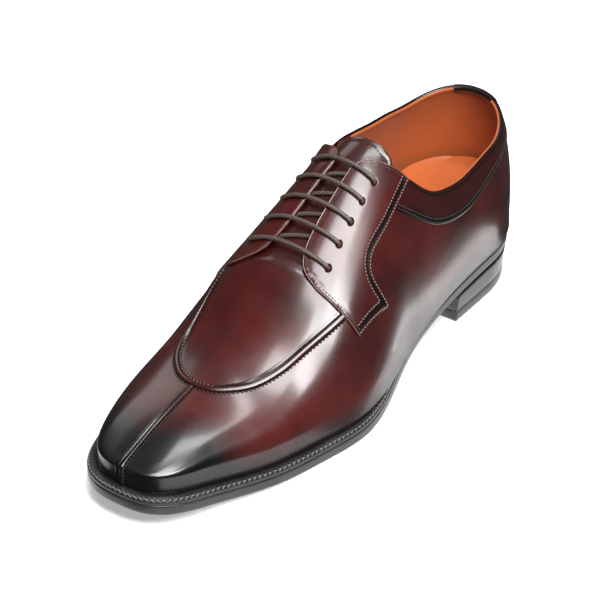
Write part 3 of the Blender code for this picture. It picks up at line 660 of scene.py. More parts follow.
def calf(name, base, deep, wine, roughness=0.32):
    """Burgundy box calf, aniline dyed, creamed and burnished by hand.

    The eye gets a clear, deep shine over a cloudy red brown that goes to black where the
    polish was built up and where shade is painted along seams, grooves and edges, with a very fine
    grain that shows only at the highlights' edges."""
    look, shader = finish_with(name, {
        "Coat Weight": 0.8, "Coat Roughness": 0.16, "Coat IOR": 1.5, "IOR": 1.5})
    where = coordinates(look)
    # This attribute darkens the colour with real burnishing and, along seams, grooves and edges of some
    # pieces, with painted shade.
    dark = node(look, "ShaderNodeAttribute", attribute_name="burnish_and_shade").outputs["Fac"]
    cloud = noise(look, where, 24.0, 3.0)
    patch = ranged(look, cloud, 0.36, 0.66, interpolation_type="SMOOTHSTEP")
    spread = node(look, "ShaderNodeMath", {0: cloud, 1: 0.5}, operation="SUBTRACT").outputs[0]
    uneven = node(look, "ShaderNodeMath", {0: spread, 1: 0.35, 2: dark}, operation="MULTIPLY_ADD").outputs[0]
    colour = mixed(look, ranged(look, uneven, 0.0, 0.85), mixed(look, patch, base, wine), deep)
    wiped = noise(look, where, 75.0, 4.0, 0.55)
    grain = node(look, "ShaderNodeTexVoronoi", {"Vector": where, "Scale": 1400.0}).outputs["Distance"]
    pores = relief(look, grain, 0.12, 0.0001)
    wire(look, shader, {
        "Base Color": colour,
        "Roughness": ranged(look, wiped, 0.3, 0.7, roughness - 0.05, roughness + 0.06),
        "Normal": relief(look, noise(look, where, 90.0, 2.0), 0.12, 0.001, Normal=pores)})
    return look


upper_calf = calf("burnished_burgundy_calf", "#300c0b", "#060505", "#47120f")

# Soft creases where the vamp flexes: share along, then across, length, width and depth in mm,
# and turn in degrees
CREASES = (
    (0.645, -4, 40, 9.0, 0.05, 4), (0.675, 22, 30, 9.0, 0.05, -24), (0.420, 38, 40, 9.0, 0.10, 62),
)


def creased(points):
    """Depth of the creases at places on the form, in metres."""
    depth = np.zeros(len(points))
    for share, across, length, width, deep, turn in CREASES:
        angle = math.radians(turn)
        dx = (points[:, 0] - ridge(np.array(share * LENGTH)) - across * MM) / MM
        dy = (points[:, 1] - share * LENGTH) / MM
        run = dx * math.cos(angle) + dy * math.sin(angle)
        off = -dx * math.sin(angle) + dy * math.cos(angle)
        fade = np.exp(-(run / (length / 2)) ** 2)
        depth -= deep * MM * fade * np.exp(-(off / (width / 2)) ** 2)
        depth += 0.45 * deep * MM * fade * np.exp(-((off - width) / (width * 0.7)) ** 2)
    return depth


FOOT_DROPS = (1.0, 0.85, 0.7, 0.55, 0.4, 0.28, 0.16, 0.07)
FOOT_TUCK = -0.0004
FOOT_GAP = 0.0003
LOWER_ROWS = 70
UPPER_ROWS = 40


def shell():
    """Rings of points on the upper, from its foot to its limits, and on to the ridge."""
    rings = []
    for drop in FOOT_DROPS:
        ring = LOOP - LOOP_NORMAL * FOOT_TUCK * drop ** 2
        low, high = sole_top(LOOP[:, 1]) + FOOT_GAP, widest_height(LOOP[:, 1])
        rings.append(np.column_stack([ring, high + (low - high) * drop]))
    for k in range(LOWER_ROWS):
        rings.append(shell_ring(1 - (1 - limit) * k / (LOWER_ROWS - 1)))
    for k in range(1, UPPER_ROWS + 1):
        rings.append(shell_ring(limit * (1 - k / UPPER_ROWS)))
    return np.array(rings)


def shell_ring(level, inset=0.0):
    places = ring_places(level)
    height = surface(*places.T)
    height = np.where(level > 0.99999, widest_height(LOOP[:, 1]), height)
    points = np.column_stack([places, height])
    if inset:
        normal = form_normal(*places.T)
        side = np.column_stack([LOOP_NORMAL, np.zeros(len(LOOP))])
        normal = np.where((level > 0.985)[:, None], side, normal)
        points -= normal * inset
    return points


shell_rings = shell()
levels, around = shell_rings.shape[:2]
sheet_row = len(FOOT_DROPS) + LOWER_ROWS - 1
faces = grid_faces(sheet_row + 1, around, closed=True)
for i in range(sheet_row, levels - 1):
    for j in range(first_toe, last_toe):
        a, b = i * around + j, (i + 1) * around + j
        faces.append((a, a + 1, b + 1, b))


def only_used(points, faces):
    """The points that faces use, and the faces renumbered to them."""
    used = sorted({i for face in faces for i in face})
    renumber = {old: new for new, old in enumerate(used)}
    return points[used], [tuple(dict.fromkeys(renumber[i] for i in face)) for face in faces]


points = shell_rings.reshape(-1, 3)
side_rows = len(FOOT_DROPS) + 2
above = points[side_rows * around:]
normals = np.concatenate([
    np.tile(np.column_stack([LOOP_NORMAL, np.zeros(around)]), (side_rows, 1)),
    form_normal(*above[:, :2].T),
])
points, faces = only_used(points + normals * creased(points)[:, None], faces)
same = {}
merged = [same.setdefault(tuple(np.round(point * 1e6)), i) for i, point in enumerate(points)]
faces = [tuple(dict.fromkeys(merged[i] for i in face)) for face in faces]
points, faces = only_used(points, [face for face in faces if len(face) > 2])
upper = piece("calf_upper", points, faces, upper_calf, "upper_calf", ("upper",),
              attributes={"burnish_and_shade": burnish_and_shade(points)})
walled(upper, UPPER_WALL, -1)


# Tongue
# The middle of the vamp runs on under the lacing as the tongue, of the same calf with a thin
# lining. It is cut round at the top, folded and stitched once round its edge.

TONGUE_HALF = 0.021
TONGUE_WALL = 0.0016
TONGUE_TOP = 0.369
TONGUE_ROUND = 0.028
TONGUE_ROWS = 110
tongue_calf = calf("tongue_calf", "#2c0d0c", "#080606", "#3a110f", roughness=0.34)


def tongue_shape(share):
    """Half width as a share of the tongue's, and depth below the form in metres."""
    top = np.clip((share - TONGUE_TOP) / TONGUE_ROUND, 0, 1)
    half = 0.55 + 0.45 * np.sqrt(1 - (1 - top) ** 2)
    half = half + 0.42 * smooth(0.578, 0.600, share)
    deep = 2.5 * MM * (1 - smooth(0.572, 0.600, share))
    return half, deep


lateral_edge = shell_rings[sheet_row:, first_toe]
medial_edge = shell_rings[sheet_row:, len(LOOP) - first_toe]
front_line = np.concatenate([lateral_edge, medial_edge[::-1][1:]])
front_half = abs(front_line[0, 0] - ridge(front_line[0, 1]))
front_share = (front_line[:, 0] - ridge(front_line[:, 1])) / front_half
front_bend = front_line[:, 1] - front_line[len(lateral_edge) - 1, 1]
spine_front = front_line[len(lateral_edge) - 1, 1] / LENGTH
shares = np.concatenate([
    spine_front + np.array([0.012, 0.006]),
    spine_front - (spine_front - TONGUE_TOP) * np.linspace(0, 1, TONGUE_ROWS),
])
rows = []
for share in shares:
    half, deep = tongue_shape(np.array(share))
    fade = smooth(spine_front - 0.06, spine_front, share)
    width = TONGUE_HALF * half * (1 - fade) + front_half * fade
    along = share * LENGTH + front_bend * fade
    across = ridge(along) + front_share * width
    sink = deep + (0.03 * MM if share > spine_front + 0.001 else 0)
    to_edge = np.minimum((1 - np.abs(front_share)) * width, np.abs(share - TONGUE_TOP) * LENGTH)
    folded = 0.45 * MM * (1 - smooth(1.8 * MM, 2.6 * MM, to_edge)) * (share < 0.55)
    rows.append(on_form(across, along, folded - sink))
points = np.array(rows).reshape(-1, 3)
tongue = piece("calf_tongue", points, grid_faces(len(rows), len(front_share)), tongue_calf, "tongue_calf",
               ("tongue",), attributes={"burnish_and_shade": burnish_and_shade(points) * 0.4})
walled(tongue, TONGUE_WALL, -1)

TONGUE_SEAM = 2.5 * MM
turn = np.linspace(-math.pi / 2, math.pi / 2, 80)
seam_along = (TONGUE_TOP + TONGUE_ROUND) * LENGTH - np.cos(turn) * (TONGUE_ROUND * LENGTH - TONGUE_SEAM)
seam_out = np.sign(np.sin(turn)) * np.abs(np.sin(turn)) ** 0.8 * (TONGUE_HALF - TONGUE_SEAM)
seam_across = ridge(seam_along) + seam_out
dark_thread = thread("dark_upper_thread", "#4a403b", "#1e1816")
sew("tongue_stitches", on_form(seam_across, seam_along, -2.45 * MM),
    form_normal(seam_across, seam_along), dark_thread, "tongue_calf", 1.9, 1.3, 0.5, 0.3)


# Lining and sock
# Vegetable tanned calf, undyed but for a tan finish: one sheet inside the quarters, turned over
# the topline in a thin bead, and a flat sock glued over the insole.

tan_leather, shader = finish_with("vegetable_tanned_lining", {
    "Roughness": 0.48, "IOR": 1.45, "Sheen Weight": 0.08, "Sheen Roughness": 0.5})
where = coordinates(tan_leather)
grain = node(tan_leather, "ShaderNodeTexVoronoi", {"Vector": where, "Scale": 1200.0}).outputs["Distance"]
wire(tan_leather, shader, {
    "Base Color": mixed(tan_leather, noise(tan_leather, where, 22.0, 5.0), "#a34d1e", "#b96232"),
    "Normal": relief(tan_leather, grain, 0.12, 0.0001)})

LINING_INSET = 0.0015
LINING_ROWS = 60
rings = [np.column_stack([
    LOOP - LOOP_NORMAL * (TUCK + LINING_INSET), sole_top(LOOP[:, 1]) + 0.5 * MM])]
for k in range(LINING_ROWS):
    rings.append(shell_ring(1 - (1 - limit) * k / (LINING_ROWS - 1), LINING_INSET))
rings = np.array(rings)
piece("tan_lining", rings.reshape(-1, 3), grid_faces(len(rings), around, closed=True), tan_leather,
      "insole_leather", outward=-1)

INSOLE_RISE = 0.019
INSOLE_CUP = 0.004
SOCK_WALL = 0.0015
SOCK_COLUMNS = 41
sock_edge = LOOP - LOOP_NORMAL * (TUCK + 0.0020)
share = np.linspace(0, 1, SOCK_COLUMNS)[None, :, None]
plan = (sock_edge[:SIDE_COUNT, None] * (1 - share)
        + np.roll(sock_edge[::-1], 1, axis=0)[:SIDE_COUNT, None] * share)
share = np.tile(np.abs(np.linspace(-1, 1, SOCK_COLUMNS)), (SIDE_COUNT, 1))
share[[0, -1]] = 1
back = 1 - smooth(0.0, 0.03, plan[..., 1])
heel = smooth(0.5, 0.1, plan[..., 1] / LENGTH)
cup = np.maximum(share ** 3, back)
rise = OUTSOLE_THICKNESS / 2 * (1 - heel) + (INSOLE_RISE + INSOLE_CUP * cup) * heel
top = np.concatenate([plan, (sole_top(plan[..., 1]) + rise)[..., None]], axis=-1)
sock = piece("leather_sock", top.reshape(-1, 3), grid_faces(SIDE_COUNT, SOCK_COLUMNS), tan_leather,
             "insole_leather", ("insole",))
walled(sock, SOCK_WALL, -1)


# Facings
# The fronts of the quarters, which carry the lacing: a second layer of the same calf, skived
# thin, with its edge folded under. Each has one row of stitches round its front and a double row
# at its back, where it is sewn down over the quarter, and five punched eyelets.

FACING_INNER = (
    (0.598, 0.240, 0.230), (0.591, 0.165, 0.165), (0.578, 0.115, 0.115),
    (0.560, 0.090, 0.090), (0.493, 0.062, 0.062), (0.429, 0.050, 0.050),
)
FACING_TOP = (
    (0.429, 0.050, 0.050), (0.418, 0.066, 0.066), (0.399, 0.130, 0.130),
    (0.381, 0.203, 0.200), (0.371, 0.245, 0.240),
)
FACING_BACK = (
    (0.371, 0.245, 0.240), (0.421, 0.280, 0.270), (0.466, 0.310, 0.295),
    (0.500, 0.332, 0.310), (0.515, 0.362, 0.328), (0.516, 0.405, 0.350),
    (0.508, 0.450, 0.372),
)
FACING_TAB = ((0.508, 0.450, 0.372), (0.589, 0.465, 0.390))
FACING_FRONT = ((0.589, 0.465, 0.390), (0.596, 0.350, 0.310), (0.598, 0.240, 0.230))
FACING_LOW = 0.0002
FACING_THICKNESS = 0.0017
EYELET_RADIUS = 0.0014
EDGE_ROUND = 0.75 * MM
PANEL_GRID = 1.3 * MM
SHEET_STEP = 0.6 * MM
GROOVE_IN = 2.6 * MM
BACK_ROWS = (1.0, 4.1)
FRONT_ROW = 1.4 * MM


def side_run(rows, side, steps):
    """One edge of a facing as places, eased between its corners."""
    table = np.array(rows)
    walked = walk(table[:, :2])
    even = spline(np.column_stack([walked, table]))(np.linspace(0, walked[-1], steps))
    across = np.where(side > 0, even[:, 1], even[:, 2]) * BALL_WIDTH
    along = even[:, 0] * LENGTH
    return np.stack([ridge(along) + side * across, along], axis=-1)


def to_sheet(places):
    """Places on the form, unrolled: arc down the side from the ridge, and along."""
    across, along = places[..., 0], places[..., 1]
    side = np.where(across > ridge(along), 1, -1)
    half = half_width(along, side)
    angle = np.arcsin(np.clip((across - ridge(along)) / half, -0.9999, 0.9999))
    return np.stack([angle * 0.5 * BALL_WIDTH, along], axis=-1)


def from_sheet(flat):
    angle, along = flat[..., 0] / (0.5 * BALL_WIDTH), flat[..., 1]
    side = np.where(angle > 0, 1, -1)
    return np.stack([ridge(along) + np.sin(angle) * half_width(along, side), along], axis=-1)


def resample(line, step, closed=False):
    """A line in even steps."""
    if closed:
        line = np.concatenate([line, line[:1]])
    walked = walk(line)
    count = max(3, int(round(walked[-1] / step)))
    even = np.linspace(0, walked[-1], count + 1)
    if closed:
        even = even[:-1]
    return np.column_stack([np.interp(even, walked, line[:, k]) for k in range(line.shape[1])])


def line_distance(places, line, closed=True):
    """Shortest way from each place to a line, both in the unrolled sheet."""
    ends = np.roll(line, -1, axis=0) if closed else line[1:]
    starts = line if closed else line[:-1]
    best = np.full(len(places), 1e9)
    for a, b in zip(starts, ends):
        run = b - a
        part = np.clip(((places - a) @ run) / max(run @ run, 1e-18), 0, 1)
        best = np.minimum(best, np.linalg.norm(places - a - part[:, None] * run, axis=1))
    return best


def inside(places, line):
    """Which places lie inside a closed line."""
    odd = np.zeros(len(places), bool)
    for a, b in zip(line, np.roll(line, -1, axis=0)):
        spans = (a[1] > places[:, 1]) != (b[1] > places[:, 1])
        with np.errstate(divide="ignore", invalid="ignore"):
            cut = (b[0] - a[0]) * (places[:, 1] - a[1]) / (b[1] - a[1]) + a[0]
        odd ^= spans & (places[:, 0] < cut)
    return odd


def rounded(depth, thickness, radius, wall_share=0.35):
    """Height over the ground at a distance in from a rounded edge."""
    near = np.clip(depth / radius, 0, 1)
    return thickness * (wall_share + (1 - wall_share) * np.sqrt(1 - (1 - near) ** 2))


def panel(name, outline, holes, replaced, shaped, dark):
    """A leather panel that lies on the form, with rounded edges and punched holes."""
    border = resample(outline, SHEET_STEP, closed=True)
    tangent = np.roll(border, -1, axis=0) - np.roll(border, 1, axis=0)
    normal = unit(np.column_stack([tangent[:, 1], -tangent[:, 0]]))
    if inside(border[:1] + normal[:1] * 1e-5, border)[0]:
        normal = -normal
    extra = [border - normal * EDGE_ROUND * way for way in (0.12, 0.3, 0.55, 0.85)]
    for hole in holes:
        middle = hole.mean(axis=0)
        extra += [middle + (hole - middle) * way for way in (1.12, 1.3, 1.55)]
    low_corner, high_corner = border.min(axis=0), border.max(axis=0)
    xs = np.arange(low_corner[0], high_corner[0], PANEL_GRID)
    ys = np.arange(low_corner[1], high_corner[1], PANEL_GRID)
    mesh_grid = np.stack(np.meshgrid(xs, ys), axis=-1).reshape(-1, 2)
    mesh_grid[:, 0] += (np.arange(len(mesh_grid)) // len(xs) % 2) * PANEL_GRID / 2
    mesh_grid = mesh_grid[inside(mesh_grid, border)]
    clear = line_distance(mesh_grid, border) > EDGE_ROUND
    for hole in holes:
        clear &= np.linalg.norm(mesh_grid - hole.mean(axis=0), axis=1) > EYELET_RADIUS * 1.7
    extra = np.concatenate([*extra, mesh_grid[clear]])
    rings = [border, *holes]
    verts = np.concatenate([*rings, extra[inside(extra, border)]])
    edges = []
    start = 0
    for ring in rings:
        edges += [(start + i, start + (i + 1) % len(ring)) for i in range(len(ring))]
        start += len(ring)
    made = geometry.delaunay_2d_cdt([Vector(v) for v in verts], edges, [], 2, 1e-7)
    flat = np.array([tuple(v) for v in made[0]])
    faces = [tuple(face) for face in made[2]]
    height = rounded(line_distance(flat, border), FACING_THICKNESS, EDGE_ROUND)
    for hole in holes:
        out = np.linalg.norm(flat - hole.mean(axis=0), axis=1) - EYELET_RADIUS
        height = np.minimum(height, rounded(np.maximum(out, 0), FACING_THICKNESS, 0.6 * MM, 0.6))
    places = from_sheet(flat)
    top = on_form(*places.T, FACING_LOW + (height + shaped(flat)))
    count = {}
    sides = [(a, b) for face in faces for a, b in zip(face, face[1:] + face[:1])]
    for a, b in sides:
        count[min(a, b), max(a, b)] = count.get((min(a, b), max(a, b)), 0) + 1
    rim = [(a, b) for a, b in sides if count[min(a, b), max(a, b)] == 1]
    rim_points = sorted({i for edge in rim for i in edge})
    under = {i: len(flat) + k for k, i in enumerate(rim_points)}
    points = np.concatenate([top, on_form(*places[rim_points].T, FACING_LOW - 0.3 * MM)])
    faces += [(b, a, under[a], under[b]) for a, b in rim]
    # Painted shade along the back groove; the walls of the cut edge are also darkened towards their foot.
    shade = np.maximum(burnish_and_shade(points), np.concatenate([dark(flat), np.full(len(rim_points), 0.9)]))
    piece(name, points, faces, facing_calf, "facing_calf", replaced, attributes={"burnish_and_shade": shade})


def form_line(flat, offset):
    """A line in the unrolled sheet as points on the shoe, with the normals there."""
    flat = resample(flat, 0.5 * MM)
    places = from_sheet(flat)
    points = on_form(*places.T, offset)
    return points, form_normal(*places.T)


def inward(line, way, outline):
    """A line along an outline's edge in the sheet, moved into the outline by a way."""
    tangent = np.gradient(line, axis=0)
    aside = unit(np.column_stack([-tangent[:, 1], tangent[:, 0]])) * way
    middle = len(line) // 2
    return line + aside if inside((line + aside)[middle:middle + 1], outline)[0] else line - aside


facing_calf = calf("facing_calf", "#320c0b", "#070505", "#45120f", roughness=0.31)
upper_thread = thread("waxed_upper_thread", "#93857a", "#4e433e")
FACING_FIRM = FACING_LOW + FACING_THICKNESS

front_edges = []
for side, side_name in ((1, "lateral"), (-1, "medial")):
    inner = side_run(FACING_INNER, side, 60)
    top = side_run(FACING_TOP, side, 30)
    rear = side_run(FACING_BACK, side, 70)
    tab = side_run(FACING_TAB, side, 20)
    front = side_run(FACING_FRONT, side, 30)
    outline = to_sheet(np.concatenate([inner[:-1], top[:-1], rear[:-1], tab[:-1], front[:-1]]))
    holes = []
    for share, out in EYELETS:
        along = share * LENGTH
        middle = to_sheet(np.array([ridge(np.array(along)) + side * out * BALL_WIDTH, along]))
        turn = np.linspace(0, 2 * math.pi, 17)[:-1]
        holes.append(middle + EYELET_RADIUS * np.column_stack([np.cos(turn), np.sin(turn)]))
    rear_sheet = resample(to_sheet(np.concatenate([rear, tab[1:]])), SHEET_STEP)
    groove = inward(rear_sheet, GROOVE_IN, outline)

    def shaped(flat):
        sewn = np.exp(-((line_distance(flat, outline) - FRONT_ROW) / (0.45 * MM)) ** 2)
        places = from_sheet(flat)
        out = np.abs(places[:, 0] - ridge(places[:, 1])) / BALL_WIDTH
        corner = (1 - smooth(0.372, 0.425, places[:, 1] / LENGTH)) * smooth(0.06, 0.20, out)
        cut_in = np.exp(-(line_distance(flat, groove, closed=False) / (0.8 * MM)) ** 2)
        return (2.2 * (side < 0) * corner - 0.25 * cut_in - 0.22 * sewn) * MM

    # Painted shade along the groove between the two back rows of stitches.
    def dark(flat):
        return 0.95 * np.exp(-(line_distance(flat, groove, closed=False) / (1.1 * MM)) ** 4)

    panel(f"facing_panel_{side_name}", outline, holes, (f"facing_{side_name}",), shaped, dark)
    for number, way in enumerate(BACK_ROWS, start=1):
        line = inward(rear_sheet, way * MM, outline)
        line = line[inside(line, outline)]
        line = line[line_distance(line, rear_sheet, closed=False) > (way - 0.08) * MM]
        points, normals = form_line(line, FACING_FIRM - 0.05 * MM)
        sew(f"facing_stitches_back_{number}_{side_name}", points, normals, upper_thread, "facing_calf",
            1.8, 1.2, 0.66, 0.42)
    front_edge = to_sheet(np.concatenate([front, inner[1:], top[1:]]))
    front_sheet = resample(front_edge, SHEET_STEP)
    line = inward(front_sheet, FRONT_ROW, outline)
    line = line[inside(line, outline)]
    points, normals = form_line(line, FACING_FIRM - 0.2 * MM)
    sew(f"facing_stitches_front_{side_name}", points, normals, dark_thread, "facing_calf",
        2.0, 1.5, 0.5, 0.35)
    front_edges.append((side_name, front_edge))


# Apron seam
# The edge of the vamp is raised over a cord and sewn to the wings, so that a smooth roll runs
# round the apron, with the stitches biting into the wing just outside it.

APRON = (
    (0.586, 0.735), (0.640, 0.680), (0.675, 0.640), (0.715, 0.600), (0.750, 0.535),
    (0.776, 0.440), (0.795, 0.310), (0.806, 0.160), (0.810, 0.000),
)


def apron_line():
    rows = spline(APRON)
    along = np.concatenate([
        np.linspace(APRON[0][0], APRON[-3][0], 60)[:-1],
        APRON[-1][0] - (APRON[-1][0] - APRON[-3][0]) * np.linspace(1, 0, 60) ** 2,
    ]) * LENGTH
    share = rows(along / LENGTH)
    lateral = np.column_stack([ridge(along) + share * half_width(along, 1), along])
    medial = np.column_stack([ridge(along) - share * half_width(along, -1), along])
    return np.concatenate([lateral, medial[-2::-1]])


def eased(points, step, rounds):
    """A line in even steps, with its corners softened."""
    line = resample(points, step)
    for _ in range(rounds):
        line[1:-1] = line[1:-1] * 0.5 + (line[:-2] + line[2:]) * 0.25
    return line


def sweep(name, points, normals, profile, look, slot, shade=None, ease=0):
    """A strip with a given profile, (across, up) in mm, swept along a line on the shoe."""
    tangent = unit(np.gradient(points, axis=0))
    normals = unit(normals - (normals * tangent).sum(axis=1, keepdims=True) * tangent)
    crosswise = np.cross(tangent, normals)
    profile = np.array(profile) * MM
    size = np.ones(len(points))
    if ease:
        step = walk(points)
        size = np.minimum(smooth(0, ease, step), smooth(0, ease, step[-1] - step)) * 0.95 + 0.05
    rows = (points[:, None] + crosswise[:, None] * profile[:, :1]
            + normals[:, None] * (profile[:, 1:] * size[:, None, None]))
    flat = rows.reshape(-1, 3)
    values = burnish_and_shade(flat)
    # Painted shade across the profile, wherever it is darker than the burnish.
    if shade is not None:
        values = np.maximum(values, np.tile(shade, len(points)))
    piece(name, flat, grid_faces(len(points), len(profile)), look, slot, outward=0,
          attributes={"burnish_and_shade": values})


# A thin roll of lighter calf along the facings' front and inner edges: a painted highlight on their rounded
# edge.
edge_highlight_calf = calf("facing_edge_painted_highlight", "#5a3833", "#241513", "#6c4841", roughness=0.3)
EDGE = ((-0.45, -0.5), (-0.42, 0.0), (-0.25, 0.28), (0.0, 0.36), (0.25, 0.28), (0.42, 0.0), (0.45, -0.5))
for side_name, line in front_edges:
    points, normals = form_line(line, FACING_FIRM - 0.3 * MM)
    sweep(f"facing_edge_{side_name}", points, normals, EDGE, edge_highlight_calf, "facing_calf", ease=3 * MM)

apron = eased(apron_line(), 0.7 * MM, 60)
apron_points = on_form(*apron.T)
apron_normals = form_normal(*apron.T)
ROLL = ((-4.0, -0.05), (-3.2, 0.1), (-2.7, 0.12), (-2.3, 0.2), (-2.05, 0.6), (-1.7, 1.05), (-1.1, 1.42),
        (-0.4, 1.55), (0.3, 1.52), (0.9, 1.32), (1.35, 0.95), (1.6, 0.5), (1.75, 0.1), (1.8, -0.3))
seam_calf = calf("apron_roll_calf", "#2c0d0c", "#060505", "#38100e", roughness=0.24)
# Painted shade across the roll: darkest in the groove inside it and at its outer foot, clear on its top.
ROLL_SHADE = (0.0, 0.4, 0.9, 1.0, 0.9, 0.4, 0.1, 0.0, 0.0, 0.1, 0.4, 0.8, 1.0, 1.0)
sweep("apron_roll", apron_points, apron_normals, ROLL, seam_calf, "upper_calf", ROLL_SHADE)


def beside(points, normals, way, up):
    """A line moved sideways and upward over the surface, in mm."""
    tangent = unit(np.gradient(points, axis=0))
    return points + np.cross(tangent, normals) * way * MM + normals * up * MM


sew("apron_stitches_outer", beside(apron_points, apron_normals, 1.95, 0.2), apron_normals, dark_thread,
    "upper_calf", 2.1, 1.3, 0.75, 0.45)
medial_part = len(apron_points) // 2 - 12
sew("apron_stitches_inner", beside(apron_points, apron_normals, -2.15, 0.5)[medial_part:],
    apron_normals[medial_part:], upper_thread, "upper_calf", 2.1, 1.2, 0.5, 0.35)


# Side seam
# On the medial side the vamp laps over the quarter in a short seam from the corner of the
# facing down to the welt, with one row of stitches along it.

SIDE_SEAM_AT = 0.506
medial_columns = np.arange(SIDE_COUNT, len(LOOP))
column = int(medial_columns[np.argmin(np.abs(LOOP[medial_columns, 1] - SIDE_SEAM_AT * LENGTH))])
under_facing = inside(to_sheet(shell_rings[:, column, :2]), outline)
last = int(np.argmax(under_facing)) + 3
seam_points = shell_rings[:last, column]
seam_ring = shell_rings[:last, column + 1] - shell_rings[:last, column - 1]
seam_normals = unit(np.cross(seam_ring, np.gradient(seam_points, axis=0)))
seam_normals *= np.sign(seam_normals @ np.append(LOOP_NORMAL[column], 0.2))[:, None]
SEAM_PROFILE = ((-1.5, -0.2), (-1.3, 0.2), (-0.7, 0.38), (0.6, 0.38), (1.2, 0.3), (1.5, -0.2))
# Painted shade along both edges of the seam strip, lighter on its top.
SEAM_SHADE = (1.0, 0.9, 0.4, 0.4, 0.8, 1.0)
sweep("side_seam", seam_points, seam_normals, SEAM_PROFILE, seam_calf, "upper_calf", SEAM_SHADE)
sew("side_seam_stitches", beside(seam_points, seam_normals, 0.0, 0.4), seam_normals, upper_thread,
    "upper_calf", 2.0, 1.3, 0.5, 0.35)


# Split toe seam
# The two wings meet in front in an upright seam: the lateral edge stands up in a fine roll
# with its own stitches, the medial edge is softer, and a groove with painted shade in it runs between them.

front_along = np.linspace(APRON[-1][0] + 0.004, TOE_ROUND[0], 8) * LENGTH
shell_front = shell_rings[::-1, SIDE_COUNT - 1]
ridge_part = on_form(ridge(front_along), front_along)[:-1]
toe_line = np.concatenate([ridge_part, shell_front])
toe_line = toe_line[np.concatenate([[True], np.linalg.norm(np.diff(toe_line, axis=0), axis=1) > 1e-6])]
toe_line = resample(toe_line, 0.5 * MM)
toe_tangent = unit(np.gradient(toe_line, axis=0))
toe_normals = unit(np.cross(np.tile([1.0, 0, 0], (len(toe_line), 1)), toe_tangent))
toe_normals *= np.sign(toe_normals[:, 2:3] + toe_normals[:, 1:2])
TOE_PROFILE = ((-4.4, -0.08), (-3.9, 0.15), (-3.4, 0.3), (-2.9, 0.32), (-2.4, 0.2), (-1.9, 0.08),
               (-1.3, 0.05), (-1.05, 0.1), (-0.95, 0.7), (-0.7, 1.15), (-0.25, 1.35), (0.25, 1.3),
               (0.7, 1.0), (0.95, 0.5), (1.05, 0.1), (1.1, -0.2))
# Painted shade in the groove between the rolls and down the outer flank of the lateral roll.
TOE_SHADE = (0.0, 0.1, 0.2, 0.3, 0.6, 1.0, 1.0, 1.0, 1.0, 0.3, 0.0, 0.0, 0.2, 0.7, 1.0, 1.0)
sweep("toe_seam_rolls", toe_line, toe_normals, TOE_PROFILE, seam_calf, "upper_calf", TOE_SHADE)
sew("toe_seam_stitches", beside(toe_line, toe_normals, 1.2, 0.15), toe_normals, dark_thread, "upper_calf",
    2.0, 1.2, 0.45, 0.35)


# Laces
# One round cotton cord, braided and waxed. It makes a straight bar over each pair of eyelets and
# a slant below the facings to the next pair; both ends are tucked away inside.

LACE_RADIUS = 0.00108
LACE_BEND = 0.0015
CAD_GAP = 0.0003
CAD_FACING = 0.0018
CAD_LACE = 0.0011
lace_look, shader = finish_with("waxed_cotton_cord", {"Coat Weight": 0.2, "Coat Roughness": 0.35})
run = node(lace_look, "ShaderNodeAttribute", attribute_name="run").outputs["Fac"]
turn = node(lace_look, "ShaderNodeAttribute", attribute_name="turn").outputs["Fac"]
strands = []
for way in (1, -1):
    lengthwise = node(lace_look, "ShaderNodeMath", {0: run, 1: 2600.0}, operation="MULTIPLY").outputs[0]
    helix = node(lace_look, "ShaderNodeMath", {0: turn, 1: 4.0 * way, 2: lengthwise},
                 operation="MULTIPLY_ADD").outputs[0]
    strands.append(node(lace_look, "ShaderNodeMath", {0: helix}, operation="SINE").outputs[0])
braid = node(lace_look, "ShaderNodeMath", {0: strands[0], 1: strands[1]}, operation="MAXIMUM").outputs[0]
raised = ranged(lace_look, braid, -0.4, 1.0)
# Painted shade in the braid: darker in the grooves between strands, lighter on the raised strands.
wire(lace_look, shader, {
    "Base Color": mixed(lace_look, raised, "#2a211f", "#5a4e47"),
    "Roughness": ranged(lace_look, braid, 0.0, 1.0, 0.5, 0.4),
    "Normal": relief(lace_look, raised, 0.4, 0.00015)})


def lace_route():
    """Points of the lace, as the CAD model has them, with rounder bends."""
    over = CAD_GAP + CAD_FACING + CAD_GAP + CAD_LACE
    under = -CAD_GAP - CAD_LACE
    bend = [math.radians(a) for a in (15, 35, 55, 75, 90)]
    holes = [(share * LENGTH, out * BALL_WIDTH) for share, out in EYELETS]
    route = []

    def add(across, along, offset):
        route.append(on_form(np.array(ridge(np.array(along)) + across), np.array(along), np.array(offset)))

    def rise(hole, side, from_across, from_along):
        along, across = hole
        reach = math.hypot(from_across - side * across, from_along - along)
        toward = ((from_across - side * across) / reach, (from_along - along) / reach)
        for angle in bend[::-1]:
            flat = LACE_BEND * (1 - math.cos(angle))
            add(side * across + toward[0] * flat, along + toward[1] * flat,
                under + LACE_BEND * (1 - math.sin(angle)))

    for number, hole in enumerate(holes):
        along, across = hole
        if number == 0:
            add(across + 0.0036, along, under)
            rise(hole, 1, across + 0.0036, along)
        else:
            before_along, before_across = holes[number - 1]
            for mix in np.linspace(0.15, 0.85, 8):
                add(across * mix - before_across * (1 - mix), before_along * (1 - mix) + along * mix, under)
            rise(hole, 1, -before_across, before_along)
        turn_in = [(across - LACE_BEND * (1 - math.cos(angle)), over - LACE_BEND * (1 - math.sin(angle)))
                   for angle in bend]
        bar = [(across * mix, over) for mix in np.linspace(0.85, -0.85, 18)]
        for out, high in turn_in + bar + [(-out, high) for out, high in turn_in[::-1]]:
            add(out, along, high)
        if number + 1 < len(holes):
            next_along, next_across = holes[number + 1]
            count = len(route)
            rise(hole, -1, next_across, next_along)
            route[count:] = route[count:][::-1]
        else:
            add(-across, along, CAD_GAP)
            add(-across, along, under)
    return np.array(route)


